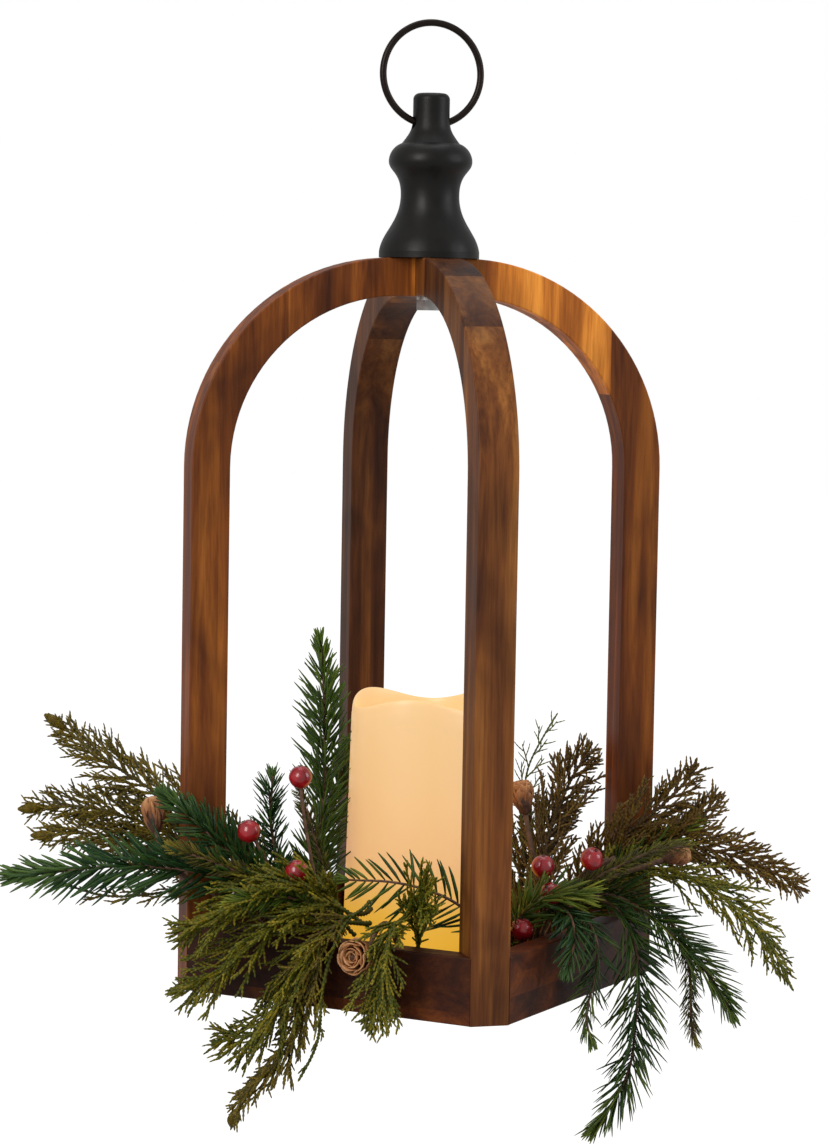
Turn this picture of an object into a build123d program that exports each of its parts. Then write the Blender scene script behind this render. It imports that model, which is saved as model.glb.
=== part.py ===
"""Hanging timber lantern with a battery candle and two evergreen swags.

Millimetres. +Z is up. The origin is the seat of the hook, inside the top of
the hanging ring, so the lantern hangs below it. One arch lies in the XZ plane
and the other in the YZ plane; the tray's sides run diagonally between posts.
"""

import os
from math import cos, radians, sin, sqrt

from build123d import *

# --- timber frame ---------------------------------------------------------
stock = 19.0  # thickness of the arches, 3/4 in pine
rib_width = 18.3  # width of a post and of the crown, seen face on
half_span = 116.6  # axis to the outer face of a post
frame_height = 348.0  # underside of the tray to the top of the crown
shoulder_radius = 100.0  # outer radius between post and crown
edge_round = 0.8  # sanded edges

rail_height = 31.5
rail_thickness = 11.0
floor_thickness = 4.0
floor_gap = 0.1  # tray floor to posts and rails

brad_radius = 0.6
brad_length = 16.0
brad_head_radius = 1.0
brad_head_height = 0.4
brad_set = 0.3  # how deep a head is punched below the surface
brad_from_corner = 6.0
brad_levels = (8.0, 23.5)
floor_brad_offset = 35.0

# --- finial, ring and hub fastener -----------------------------------------
ring_radius = 24.2  # to the middle of the wire
wire_radius = 1.65
eye_radius = 3.1  # cross hole through the finial
eye_height = 64.0  # above the finial's foot
foot_radius = 24.0
neck_radius = 14.0
bulb_radius = 19.9
knob_radius = 8.75
seam_height = 69.0  # where the cap sits on the knob
cap_height = 9.2
cap_edge_round = 3.0

foot_edge = 3.0  # straight rim of the foot
foot_cove_radius = 19.5
foot_cove_height = 13.5
neck_height = 30.0
bulb_height = 45.0
crease_radius = 13.8  # between bulb and knob
crease_height = 54.4
knob_flare = 1.05
knob_flare_height = 60.5

insert_radius = 4.5
insert_length = 14.0
insert_gap = 0.05
bolt_radius = 2.95  # M6
thread_gap = 0.05
bolt_hole_radius = 3.2
bolt_reach = 12.0  # how far the bolt enters the insert
hex_across_flats = 10.0
hex_height = 5.0
washer_radius = 5.6
washer_height = 1.6

# --- battery candle ---------------------------------------------------------
candle_foot_radius = 36.5
candle_rim_radius = 33.5
candle_height = 132.0  # mean height of the melted rim
rim_wave = 3.0  # the rim rises and dips three times round
rim_crest = 5.0  # bearing of one crest, degrees
sleeve_bore = 31.0  # hollow that takes the battery housing
well_radius = 29.0
well_floor_height = 91.0
well_floor_thickness = 4.0

housing_gap = 0.1
housing_wall = 1.7
housing_height = 22.0
housing_top = 2.0
plate_bottom = 0.8
plate_top = 4.8

cover_lap = 2.0  # how far the cover reaches past the ledge's bore
cover_thickness = 2.0
cover_gap = 0.2
plug_clearance = 0.3
plug_top = 6.8
ledge_step = 1.4  # ledge's bore outside the battery bay, in radius
ledge_bottom = 2.9
lug_bottom = 5.0
lug_height = 1.5
lug_width = 4.6
lug_turn = 30.0  # degrees from locked to released
coin_slot = (20.0, 1.8, 1.2)

cell_radius = 12.25
cell_height = 5.0
cell_count = 2
cell_gap = 0.05
cell_clearance = 0.35
bay_wall = 2.0
contact_radius = 6.0
contact_thickness = 0.6

slide_travel = 3.0
slider_size = (4.5, 2.6)
slot_size = (9.0, 3.2)
flange_size = (7.0, 5.0, 1.2)
slider_bottom = 0.3
switch_size = (14.0, 7.0, 5.0)
switch_leg = 1.3
flange_gap = 0.2

board_radius = 12.0
board_thickness = 1.6
led_radius = 2.5
led_height = 8.4
screw_offset = 9.0
screw_radius = 0.9
screw_head_radius = 1.8
screw_head_height = 1.2
screw_depth = 3.4
screw_gap = 0.05

# --- evergreen swags ---------------------------------------------------------
core_radius = 10.0
core_length = 88.0
core_tip = 4.0
core_rail_gap = 4.0  # between a swag's core and the rail beside it
berry_radius = 5.5
berry_wire = 0.7
cone_base_share = 0.4  # radius of a cone's flat base, as a share of its widest radius
cone_widest_share = 0.4  # height of its widest part, as a share of its length
cone_neck_share = 0.62  # its radius nearer the tip
cone_neck_rise = 0.82
cone_grip = 2.0  # how far a cone's wire runs into it
twig_radius = 1.3

# --- levels and places that follow from the above ----------------------------
ring_centre_z = -(ring_radius - wire_radius)
wire_sagitta = ring_radius - sqrt(ring_radius**2 - knob_radius**2)
eye_z = ring_centre_z - ring_radius + wire_sagitta / 2
crown_z = eye_z - eye_height
base_z = crown_z - frame_height
crown_underside_z = crown_z - rib_width
seat_z = base_z + floor_thickness

rail_outer = (half_span + stock / 2) / sqrt(2)
rail_inner = rail_outer - rail_thickness
rail_half_length = (half_span - stock / 2) / sqrt(2)
swag_distance = rail_inner - core_rail_gap - core_radius
core_level = floor_thickness + core_radius

bottom_up = (Align.CENTER, Align.CENTER, Align.MIN)
top_down = (Align.CENTER, Align.CENTER, Align.MAX)

os.makedirs("parts", exist_ok=True)


def save(part, label):
    """Label a finished piece and write it as its own STEP file."""
    part.label = label
    export_step(part, f"parts/{label}.step")


def side_plane(bearing, distance=0.0, level=0.0):
    """Frame of one tray side: X along the rail, Y outward, Z up from the base."""
    outward = Vector(1, 0, 0).rotate(Axis.Z, bearing)
    along = Vector(0, -1, 0).rotate(Axis.Z, bearing)
    origin = outward * distance + Vector(0, 0, base_z + level)
    return Plane(origin=origin, x_dir=along, z_dir=(0, 0, 1))


# === Timber frame ============================================================


def arch_outline(plane, half_width, height, radius):
    """Outline with vertical sides, quarter-round shoulders and a flat top."""
    with BuildSketch(plane) as outline:
        with Locations((0, base_z)):
            Rectangle(2 * half_width, height, align=(Align.CENTER, Align.MIN))
        fillet(outline.vertices().group_by(Axis.Y)[-1], radius)
    return outline.sketch


def arch(label, plane, lap_level):
    """One arch: two posts and a crown that is half-lapped over the other arch."""
    outside = arch_outline(plane, half_span, frame_height, shoulder_radius)
    inside = arch_outline(
        plane, half_span - rib_width, frame_height - rib_width, shoulder_radius - rib_width
    )
    with BuildPart() as rib:
        extrude(outside, amount=stock / 2, both=True)
        extrude(inside, amount=stock / 2, both=True, mode=Mode.SUBTRACT)
        flat_sides = rib.faces().filter_by(Axis(plane.origin, plane.z_dir)).sort_by(SortBy.AREA)[-2:]
        long_edges = flat_sides.edges().filter_by(lambda edge: edge.center().Z > base_z + edge_round)
        fillet(long_edges, edge_round)
        with Locations((0, 0, lap_level)):
            Box(stock, stock, rib_width / 2, align=bottom_up, mode=Mode.SUBTRACT)
        with Locations((0, 0, crown_underside_z)):
            Cylinder(bolt_hole_radius, rib_width, align=bottom_up, mode=Mode.SUBTRACT)
    save(rib.part, label)


arch("arch_left_right", Plane.XZ, crown_underside_z + rib_width / 2)
arch("arch_front_back", Plane.YZ, crown_underside_z)

rail_bearings = {
    "rail_front_left": 225,
    "rail_front_right": 315,
    "rail_back_right": 45,
    "rail_back_left": 135,
}
rail_inner_half_length = rail_half_length - rail_thickness
for label, bearing in rail_bearings.items():
    with BuildPart() as rail:
        with BuildSketch(side_plane(bearing)):
            with BuildLine():
                Polyline(
                    (-rail_half_length, rail_outer),
                    (rail_half_length, rail_outer),
                    (rail_inner_half_length, rail_inner),
                    (-rail_inner_half_length, rail_inner),
                    close=True,
                )
            make_face()
        extrude(amount=rail_height)
        fillet(rail.edges().group_by(SortBy.LENGTH)[-1], edge_round)
    save(rail.part, label)

with BuildPart() as floor:
    with BuildSketch(Plane.XY.offset(base_z)):
        floor_side = 2 * (rail_inner - floor_gap)
        Rectangle(floor_side, floor_side, rotation=45)
        with PolarLocations(half_span - rib_width - floor_gap, 4):
            Rectangle(
                2 * rib_width, stock + 2 * floor_gap, align=(Align.MIN, Align.CENTER), mode=Mode.SUBTRACT
            )
    extrude(amount=floor_thickness)
save(floor.part, "tray_floor")


def brad_place(bearing, along, level):
    """Plane on a rail's outer face, pointing into the tray, where a brad goes in."""
    side = side_plane(bearing)
    mouth = side.from_local_coords(Vector(along, rail_outer - brad_set, level))
    return Plane(origin=mouth, x_dir=(0, 0, 1), z_dir=-side.y_dir)


with BuildPart() as brads:
    corner_offset = rail_half_length - brad_from_corner
    corner_places = [(side * corner_offset, level) for side in (-1, 1) for level in brad_levels]
    floor_places = [(side * floor_brad_offset, floor_thickness / 2) for side in (-1, 1)]
    for bearing in rail_bearings.values():
        for along, level in corner_places + floor_places:
            for radius, length in ((brad_radius, brad_length), (brad_head_radius, brad_head_height)):
                with BuildSketch(brad_place(bearing, along, level)):
                    Circle(radius)
                extrude(amount=length)
save(brads.part, "brads")

# === Finial, hub fastener and ring ===========================================

with BuildPart() as finial:
    with BuildSketch(Plane.XZ):
        with BuildLine():
            Line((0, crown_z), (foot_radius, crown_z))
            Line((foot_radius, crown_z), (foot_radius, crown_z + foot_edge))
            Spline(
                (foot_radius, crown_z + foot_edge),
                (foot_cove_radius, crown_z + foot_cove_height),
                (neck_radius, crown_z + neck_height),
                tangents=((-0.15, 1), (0, 1)),
            )
            Spline(
                (neck_radius, crown_z + neck_height),
                (bulb_radius, crown_z + bulb_height),
                (crease_radius, crown_z + crease_height),
                tangents=((0, 1), (-1, 0.35)),
            )
            Spline(
                (crease_radius, crown_z + crease_height),
                (knob_radius + knob_flare, crown_z + knob_flare_height),
                (knob_radius, crown_z + seam_height),
                tangents=((-0.75, 1), (0, 1)),
            )
            Line((knob_radius, crown_z + seam_height), (0, crown_z + seam_height))
            Line((0, crown_z + seam_height), (0, crown_z))
        make_face()
    revolve(axis=Axis.Z)
    with Locations((0, 0, crown_z)):
        Cylinder(insert_radius + insert_gap, insert_length, align=bottom_up, mode=Mode.SUBTRACT)
    with Locations(Location((0, 0, eye_z), (0, 90, 0))):
        Cylinder(eye_radius, 2 * foot_radius, mode=Mode.SUBTRACT)
save(finial.part, "finial")

with BuildPart() as cap:
    with Locations((0, 0, crown_z + seam_height)):
        Cylinder(knob_radius, cap_height, align=bottom_up)
    fillet(cap.edges().group_by(Axis.Z)[-1], cap_edge_round)
save(cap.part, "finial_cap")

with BuildPart() as insert:
    with Locations((0, 0, crown_z)):
        Cylinder(insert_radius, insert_length, align=bottom_up)
        Cylinder(bolt_radius + thread_gap, insert_length, align=bottom_up, mode=Mode.SUBTRACT)
save(insert.part, "threaded_insert")

washer_bottom_z = crown_underside_z - washer_height
with BuildPart() as washer:
    with Locations((0, 0, crown_underside_z)):
        Cylinder(washer_radius, washer_height, align=top_down)
        Cylinder(bolt_hole_radius, washer_height, align=top_down, mode=Mode.SUBTRACT)
save(washer.part, "hub_washer")

with BuildPart() as bolt:
    with BuildSketch(Plane.XY.offset(washer_bottom_z)):
        RegularPolygon(hex_across_flats / 2, 6, major_radius=False)
    extrude(amount=-hex_height)
    with Locations((0, 0, washer_bottom_z)):
        Cylinder(bolt_radius, washer_height + rib_width + bolt_reach, align=bottom_up)
save(bolt.part, "hub_bolt")

with BuildPart() as ring:
    with BuildSketch(Plane.XY.offset(ring_centre_z)):
        with Locations((ring_radius, 0)):
            Circle(wire_radius)
    revolve(axis=Axis((0, 0, ring_centre_z), (0, 1, 0)))
save(ring.part, "hanging_ring")

# === Battery candle ==========================================================

rim_z = seat_z + candle_height
wax_stock_height = candle_height + 2 * rim_wave
wax_draft = (candle_foot_radius - candle_rim_radius) / candle_height
rim_reach = 1.3 * candle_foot_radius
rim_steps = [rim_reach * step / 4 for step in range(-4, 5)]


def rim_height(x, y):
    """Height of the melted rim: a smooth wave with three crests round the axis."""
    share = complex(x, y) / candle_rim_radius
    turn = complex(cos(radians(3 * rim_crest)), -sin(radians(3 * rim_crest)))
    return rim_z + rim_wave * (share**3 * turn).real


rim_surface = Face.make_surface_from_array_of_points(
    [[Vector(x, y, rim_height(x, y)) for y in rim_steps] for x in rim_steps]
)
above_rim = Solid.extrude(rim_surface, Vector(0, 0, 10 * rim_wave))

with BuildPart() as wax:
    with Locations((0, 0, seat_z)):
        Cone(
            candle_foot_radius,
            candle_foot_radius - wax_draft * wax_stock_height,
            wax_stock_height,
            align=bottom_up,
        )
        Cylinder(sleeve_bore, well_floor_height, align=bottom_up, mode=Mode.SUBTRACT)
    with Locations((0, 0, seat_z + well_floor_height + well_floor_thickness)):
        Cylinder(well_radius, wax_stock_height, align=bottom_up, mode=Mode.SUBTRACT)
    add(above_rim, mode=Mode.SUBTRACT)
save(wax.part, "candle_wax")

housing_radius = sleeve_bore - housing_gap
housing_inner = housing_radius - housing_wall
bay_radius = cell_radius + cell_clearance
ledge_radius = bay_radius + ledge_step
plug_radius = ledge_radius - plug_clearance
cover_radius = ledge_radius + cover_lap
bay_outer_radius = cover_radius + bay_wall
slide_offset = (bay_outer_radius + housing_inner) / 2
cell_bottom = plug_top + contact_thickness
cell_pitch = cell_height + cell_gap
cell_top = cell_bottom + cell_count * cell_pitch
bay_roof = cell_top + contact_thickness
lug_clearance_top = lug_bottom + lug_height + 2 * cover_gap
deck_z = seat_z + housing_height
lug_reach = cover_radius - ledge_radius + cover_gap

with BuildPart() as housing:
    with Locations((0, 0, seat_z)):
        Cylinder(housing_radius, housing_height, align=bottom_up)
        Cylinder(housing_inner, plate_bottom, align=bottom_up, mode=Mode.SUBTRACT)
    with Locations((0, 0, seat_z + plate_top)):
        Cylinder(
            housing_inner, housing_height - housing_top - plate_top, align=bottom_up, mode=Mode.SUBTRACT
        )
        Cylinder(bay_outer_radius, housing_height - housing_top - plate_top, align=bottom_up)
    with Locations((0, 0, seat_z)):
        Cylinder(cover_radius + cover_gap, ledge_bottom, align=bottom_up, mode=Mode.SUBTRACT)
        Cylinder(ledge_radius, bay_roof, align=bottom_up, mode=Mode.SUBTRACT)
    with BuildSketch(Plane.XY.offset(seat_z + bay_roof)):
        Circle(ledge_radius)
        Circle(bay_radius, mode=Mode.SUBTRACT)
    extrude(amount=lug_clearance_top - bay_roof)
    with Locations((0, 0, seat_z + plate_top)):
        Cylinder(
            cover_radius + cover_gap, lug_clearance_top - plate_top, align=bottom_up, mode=Mode.SUBTRACT
        )
    with BuildSketch(Plane.XY.offset(seat_z + ledge_bottom)):
        with PolarLocations(0, 3, start_angle=lug_turn):
            with Locations((ledge_radius - lug_reach, 0)):
                Rectangle(2 * lug_reach, lug_width + 2 * cover_gap, align=(Align.MIN, Align.CENTER))
    extrude(amount=plate_top - ledge_bottom, mode=Mode.SUBTRACT)
    with Locations((0, slide_offset, seat_z + plate_bottom)):
        Box(*slot_size, plate_top - plate_bottom, align=bottom_up, mode=Mode.SUBTRACT)
    with Locations((screw_offset, 0, deck_z), (-screw_offset, 0, deck_z)):
        Cylinder(screw_radius + screw_gap, screw_depth, align=top_down, mode=Mode.SUBTRACT)
save(housing.part, "candle_base")

with BuildPart() as cover:
    with Locations((0, 0, seat_z + plate_bottom)):
        Cylinder(cover_radius, cover_thickness, align=bottom_up)
        Cylinder(plug_radius, plug_top - plate_bottom, align=bottom_up)
        Box(*coin_slot, align=bottom_up, mode=Mode.SUBTRACT)
    with BuildSketch(Plane.XY.offset(seat_z + lug_bottom)):
        with PolarLocations(0, 3):
            with Locations((plug_radius / 2, 0)):
                Rectangle(plug_radius, lug_width, align=(Align.MIN, Align.CENTER))
        Circle(cover_radius, mode=Mode.INTERSECT)
    extrude(amount=lug_height)
save(cover.part, "battery_cover")

with BuildPart() as cells:
    for index in range(cell_count):
        with BuildSketch(Plane.XY.offset(seat_z + cell_bottom + index * cell_pitch)):
            Circle(cell_radius)
        extrude(amount=cell_height)
save(cells.part, "coin_cells")

with BuildPart() as contacts:
    for level in (plug_top, cell_top):
        with BuildSketch(Plane.XY.offset(seat_z + level)):
            Circle(contact_radius)
        extrude(amount=contact_thickness)
save(contacts.part, "battery_contacts")

slide_x = -slide_travel / 2
flange_z = seat_z + plate_top + flange_gap
with BuildPart() as slider:
    with Locations((slide_x, slide_offset, seat_z + slider_bottom)):
        Box(*slider_size, plate_top + flange_gap - slider_bottom, align=bottom_up)
    with Locations((slide_x, slide_offset, flange_z)):
        Box(*flange_size, align=bottom_up)
save(slider.part, "switch_slider")

switch_z = flange_z + flange_size[2] + flange_gap
with BuildPart() as switch:
    with Locations((0, slide_offset, switch_z)):
        Box(*switch_size, align=bottom_up)
    leg_offset = (switch_size[0] - switch_leg) / 2
    with Locations((leg_offset, slide_offset, switch_z), (-leg_offset, slide_offset, switch_z)):
        Box(switch_leg, switch_size[1], switch_z - seat_z - plate_top, align=top_down)
save(switch.part, "switch_body")

with BuildPart() as board:
    with BuildSketch(Plane.XY.offset(deck_z)):
        Circle(board_radius)
        with Locations((screw_offset, 0), (-screw_offset, 0)):
            Circle(screw_radius + screw_gap, mode=Mode.SUBTRACT)
    extrude(amount=board_thickness)
save(board.part, "led_board")

board_z = deck_z + board_thickness
with BuildPart() as led:
    with Locations((0, 0, board_z)):
        Cylinder(led_radius, led_height, align=bottom_up)
    fillet(led.edges().filter_by(GeomType.CIRCLE).sort_by(Axis.Z)[-1], 0.9 * led_radius)
save(led.part, "led_bulb")

with BuildPart() as screws:
    with Locations((screw_offset, 0, board_z), (-screw_offset, 0, board_z)):
        Cylinder(screw_head_radius, screw_head_height, align=bottom_up)
        Cylinder(screw_radius, board_thickness + screw_depth - screw_gap, align=top_down)
save(screws.part, "board_screws")

# === Evergreen swags =========================================================
# Every sprig is a closed, leaf-shaped body along its own wire. A route is given
# along the rail, outward from the swag's core, and upward. Its first point lies
# inside the core and is level from the core's axis; the rest are from the rail's top.

left_swag = rail_bearings["rail_front_left"]
right_swag = rail_bearings["rail_front_right"]


def wire_points(bearing, route):
    """Points of one wire: its root in the core, the others from the rail's top."""
    core_frame = side_plane(bearing, swag_distance, core_level)
    rail_frame = side_plane(bearing, swag_distance, rail_height)
    root, *others = route
    points = [core_frame.from_local_coords(Vector(*root))]
    return points + [rail_frame.from_local_coords(Vector(*point)) for point in others]


# half width and half thickness of the foliage where it is fullest
foliage = {
    "cedar": (9.0, 1.8),
    "fir": (6.5, 2.6),
    "pine": (7.0, 3.0),
    "brush": (4.0, 3.2),
    "wire": (twig_radius, twig_radius),
}
stem_radius = 1.2
# share of the way along a sprig, and how full its foliage is there
fullness = ((0.15, 0.35), (0.3, 0.7), (0.5, 1.0), (0.8, 0.7))


def sprig_body(swag, kind, face, route):
    """Loft one sprig through ellipses along its route; face is its flat side."""
    with BuildLine(mode=Mode.PRIVATE) as stem:
        Spline(*wire_points(swag, route))
    side_of = Plane(origin=(0, 0, 0), x_dir=side_plane(swag).x_dir, z_dir=(0, 0, 1))
    flat = side_of.from_local_coords(Vector(*face))
    width, thickness = foliage[kind]
    middle = [
        (share, max(full * width, stem_radius), max(full * thickness, stem_radius))
        for share, full in fullness
    ]
    sections = [(0.0, stem_radius, stem_radius), *middle, (1.0, stem_radius, stem_radius)]
    profiles = Sketch()
    for share, half_width, half_thickness in sections:
        tangent = stem.line % share
        place = Plane(origin=stem.line @ share, x_dir=tangent.cross(flat), z_dir=tangent)
        with BuildSketch(place) as section:
            Ellipse(half_width, half_thickness)
        profiles += section.sketch
    return loft(profiles.faces())


def save_sprigs(label, swag, kind, face, *routes):
    """Write the sprigs that share one pick as separate solids of one node."""
    sprigs = [sprig_body(swag, kind, face, route).solid() for route in routes]
    save(Compound(children=sprigs), label)


def swag_core(label, swag):
    """Taped bundle of wire ends that lies on the tray floor beside the rail."""
    frame = side_plane(swag, swag_distance, core_level)
    with BuildPart() as core:
        with BuildSketch(Plane(origin=frame.origin, x_dir=(0, 0, 1), z_dir=frame.x_dir)):
            Circle(core_radius)
        extrude(amount=core_length / 2, both=True)
        chamfer(core.edges().filter_by(GeomType.CIRCLE), core_tip)
    save(core.part, label)


swag_core("swag_core_left", left_swag)
swag_core("swag_core_right", right_swag)

to_front = (-5, 9, 3)  # flat side towards the front left of the lantern
up_and_out = (0, 1, 1)

left_picks = {
    "cedar_spray_left": (
        "cedar",
        to_front,
        [(36, -4, 5), (52, -12, 14), (76, -16, 34), (104, -6, 52), (132, 6, 70), (162, 19, 94)],
        [(31, -5, 4), (46, -16, 6), (76, -23, 20), (112, -2, 40), (142, 17, 50), (167, 34, 48)],
        [(26, -4, 6), (42, -18, 0), (76, -24, 10), (110, 2, 30), (134, 20, 38), (158, 36, 36)],
    ),
    "fir_sprig_left": (
        "fir",
        up_and_out,
        [(20, 4, 6), (26, 9, 12), (44, 26, 24), (84, 48, 30), (145, 66, 22)],
    ),
    "cedar_curl_left": (
        "cedar",
        up_and_out,
        [(31, 6, 4), (36, 9, 10), (56, 28, 20), (90, 50, 16), (125, 60, 22)],
    ),
    "fir_sprig_post": (
        "fir",
        to_front,
        [(26, 4, 6), (32, 10, 12), (46, 22, 32), (80, 36, 62)],
    ),
    "brush_sprig_rail": (
        "brush",
        up_and_out,
        [(14, 6, 4), (18, 14, 8), (34, 30, 26), (70, 50, 40)],
    ),
    "spruce_tip_rail": (
        "brush",
        up_and_out,
        [(4, 4, 6), (6, 14, 10), (16, 30, 20), (36, 50, 16)],
    ),
    "brush_sprig_upright": (
        "brush",
        to_front,
        [(31, 0, 7), (38, -2, 16), (45, -1, 40), (46, -4, 70)],
    ),
    "brush_sprig_tall": (
        "brush",
        to_front,
        [(12, -4, 6), (16, -8, 12), (24, -8, 38), (34, -2, 72)],
    ),
    "pine_sprigs_candle": (
        "pine",
        to_front,
        [(21, -6, 3), (32, -22, 18), (38, -36, 56), (42, -44, 92), (45, -45, 130)],
        [(36, -7, 0), (46, -30, 4), (50, -54, 28), (48, -68, 52), (46, -72, 76)],
    ),
    "cedar_sprays_rail": (
        "cedar",
        up_and_out,
        [(2, 6, 5), (5, 8, 18), (18, 26, 26), (40, 44, 14), (64, 56, 2)],
        [(-5, 5, 5), (-4, 8, 12), (8, 28, 16), (34, 44, -6), (66, 54, -26)],
        [(-12, 6, 4), (-12, 8, 6), (-4, 29, 8), (13, 37, -24), (50, 44, -50)],
    ),
    "cedar_hanging_left": (
        "cedar",
        up_and_out,
        [(-14, 4, 6), (-14, 11, 14), (-8, 34, 8), (4, 37, -26), (20, 40, -60), (38, 44, -88)],
    ),
    "cedar_hanging_thin": (
        "brush",
        up_and_out,
        [(-19, 6, 4), (-19, 8, 12), (-16, 30, 18), (-9, 40, -24), (6, 38, -64)],
    ),
    "cedar_sprays_cone": (
        "cedar",
        up_and_out,
        [(-36, 3, 6), (-39, 8, 16), (-48, 22, 24), (-60, 30, 18)],
        [(-30, 6, 4), (-31, 8, 8), (-38, 30, 12), (-37, 38, -16), (-30, 38, -34)],
    ),
}
for label, (kind, face, *routes) in left_picks.items():
    save_sprigs(label, left_swag, kind, face, *routes)

to_viewer = (9, 5, 3)  # flat side towards the front of the lantern

right_picks = {
    "fir_sprig_candle": (
        "fir",
        to_viewer,
        [(32, -4, 5), (40, -10, 8), (54, -28, 22), (62, -46, 26), (66, -66, 24)],
    ),
    "cedar_sprays_back": (
        "cedar",
        to_viewer,
        [(-22, -4, 6), (-34, -14, 18), (-56, -18, 46), (-86, -12, 78)],
        [(-16, -6, 3), (-29, -23, 8), (-54, -31, 26), (-78, -22, 50)],
    ),
    "juniper_sprig": (
        "cedar",
        to_viewer,
        [(-34, -4, 5), (-38, -24, 18), (-52, -34, 56), (-69, -24, 94)],
    ),
    "fir_tip_front": (
        "fir",
        to_viewer,
        [(26, 2, 7), (32, 6, 10), (24, 16, 20), (12, 30, 16)],
    ),
    "fir_sprig_right": (
        "fir",
        to_viewer,
        [(-22, 4, 6), (-32, 16, 12), (-48, 32, 30), (-67, 50, 46)],
    ),
    "cedar_sprays_right": (
        "cedar",
        to_viewer,
        [(-28, 4, 6), (-33, 9, 20), (-50, 33, 48), (-64, 54, 76)],
        [(-33, 6, 4), (-36, 9, 12), (-50, 30, 32), (-66, 54, 46), (-72, 62, 62)],
        [(-38, 4, 5), (-42, 8, 20), (-56, 34, 34), (-76, 70, 30), (-90, 102, 12)],
    ),
    "cedar_drooping_right": (
        "cedar",
        up_and_out,
        [(-24, 7, 1), (-28, 9, 14), (-42, 36, 26), (-66, 74, 8), (-83, 98, -36)],
    ),
    "fir_hanging_long": (
        "fir",
        up_and_out,
        [(-5, 6, 4), (-8, 12, 14), (-12, 38, 12), (-13, 48, -22), (-8, 48, -60), (5, 36, -90)],
    ),
    "fir_hanging_side": (
        "fir",
        up_and_out,
        [(-11, 4, 6), (-16, 13, 14), (-28, 48, 6), (-40, 70, -20), (-46, 80, -40)],
    ),
    "fir_hanging_small": (
        "fir",
        up_and_out,
        [(0, 7, 1), (3, 9, 10), (9, 28, 12), (16, 38, -16), (18, 38, -46)],
    ),
    "fir_over_rail": (
        "fir",
        up_and_out,
        [(10, 6, 4), (14, 11, 12), (24, 32, 12), (34, 36, -2), (40, 34, -12)],
    ),
    "brush_hanging_right": (
        "brush",
        up_and_out,
        [(-12, 7, 0), (-16, 9, 10), (-28, 32, 18), (-41, 60, -18), (-43, 64, -56)],
    ),
    "brush_curved_right": (
        "brush",
        up_and_out,
        [(17, 4, 6), (16, 12, 10), (4, 34, 28), (-14, 50, 38), (-36, 62, 38)],
    ),
    "berry_twig": (
        "wire",
        up_and_out,
        [(7, 4, 6), (8, 12, 10), (5, 22, 24), (-9, 37, 34)],
    ),
}
for label, (kind, face, *routes) in right_picks.items():
    save_sprigs(label, right_swag, kind, face, *routes)


def save_berries(label, swag, *routes):
    """Write a pick of berries, each a bead on the end of its own wire."""
    with BuildPart() as pick:
        for route in routes:
            with BuildLine() as wire:
                Spline(*wire_points(swag, route))
            with BuildSketch(Plane(origin=wire.line @ 0, z_dir=wire.line % 0)):
                Circle(berry_wire)
            sweep(path=wire.line)
            with Locations(wire.line @ 1):
                Sphere(berry_radius)
    save(pick.part, label)


save_berries(
    "berries_left",
    left_swag,
    [(16, 1, 6), (18, 2, 18), (24, 4, 48), (27, 4, 72)],
    [(24, 7, 2), (28, 14, 16), (36, 24, 38), (41, 27, 48)],
    [(9, 5, 5), (10, 12, 10), (16, 18, 24), (19, 20, 30)],
)
save_berries(
    "berries_right",
    right_swag,
    [(13, 6, 4), (14, 9, 8), (16, 11, 32)],
    [(-4, 1, 7), (0, 16, 14), (4, 27, 28), (5, 31, 36)],
    [(21, 6, 4), (21, 12, 6), (19, 17, 20)],
    [(30, 6, 4), (31, 9, -6), (31, 8, 4)],
)


def save_cone(label, swag, radius, length, aim, route):
    """Write a cone: an egg-shaped body that aims from the end of its wire."""
    along = Plane(origin=(0, 0, 0), x_dir=side_plane(swag).x_dir, z_dir=(0, 0, 1))
    tip_way = along.from_local_coords(Vector(*aim))
    with BuildPart() as pick:
        with BuildLine() as wire:
            Spline(*wire_points(swag, route))
        with BuildSketch(Plane(origin=wire.line @ 0, z_dir=wire.line % 0)):
            Circle(stem_radius)
        sweep(path=wire.line)
        base = Plane(origin=wire.line @ 1 - tip_way.normalized() * cone_grip, z_dir=tip_way)
        with BuildSketch(Plane(origin=base.origin, x_dir=base.x_dir, z_dir=base.y_dir)):
            with BuildLine():
                Line((0, 0), (cone_base_share * radius, 0))
                Spline(
                    (cone_base_share * radius, 0),
                    (radius, -cone_widest_share * length),
                    (cone_neck_share * radius, -cone_neck_rise * length),
                    (0, -length),
                    tangents=((1, -0.3), (-1, 0)),
                )
                Line((0, -length), (0, 0))
            make_face()
        revolve(axis=Axis(base.origin, base.z_dir))
    save(pick.part, label)


save_cone(
    "cone_front",
    left_swag,
    10.0,
    17.0,
    (0, 1, 0.1),
    [(-24, 5, 5), (-25, 8, 9), (-26, 22, 10), (-26, 29, 4), (-26, 31.5, -3)],
)
save_cone(
    "cone_left",
    left_swag,
    8.5,
    18.0,
    (0.3, -0.2, 1),
    [(36, 5, 4), (50, 14, 8), (78, 38, 30), (90, 31, 45)],
)
save_cone(
    "cone_right",
    right_swag,
    7.0,
    13.0,
    (-0.3, 1, 0.3),
    [(-17, 6, 4), (-21, 10, 10), (-32, 40, 28), (-38, 50, 32)],
)
save_cone(
    "cone_back",
    right_swag,
    8.5,
    17.0,
    (0, -0.2, 1),
    [(-28, -6, 3), (-30, -14, 14), (-30, -20, 40), (-30, -22, 50)],
)
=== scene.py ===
"""Looks of the hanging lantern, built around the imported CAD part. Metres, +Z up."""

import math

import bpy
import numpy as np
from mathutils import Matrix, Vector


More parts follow.
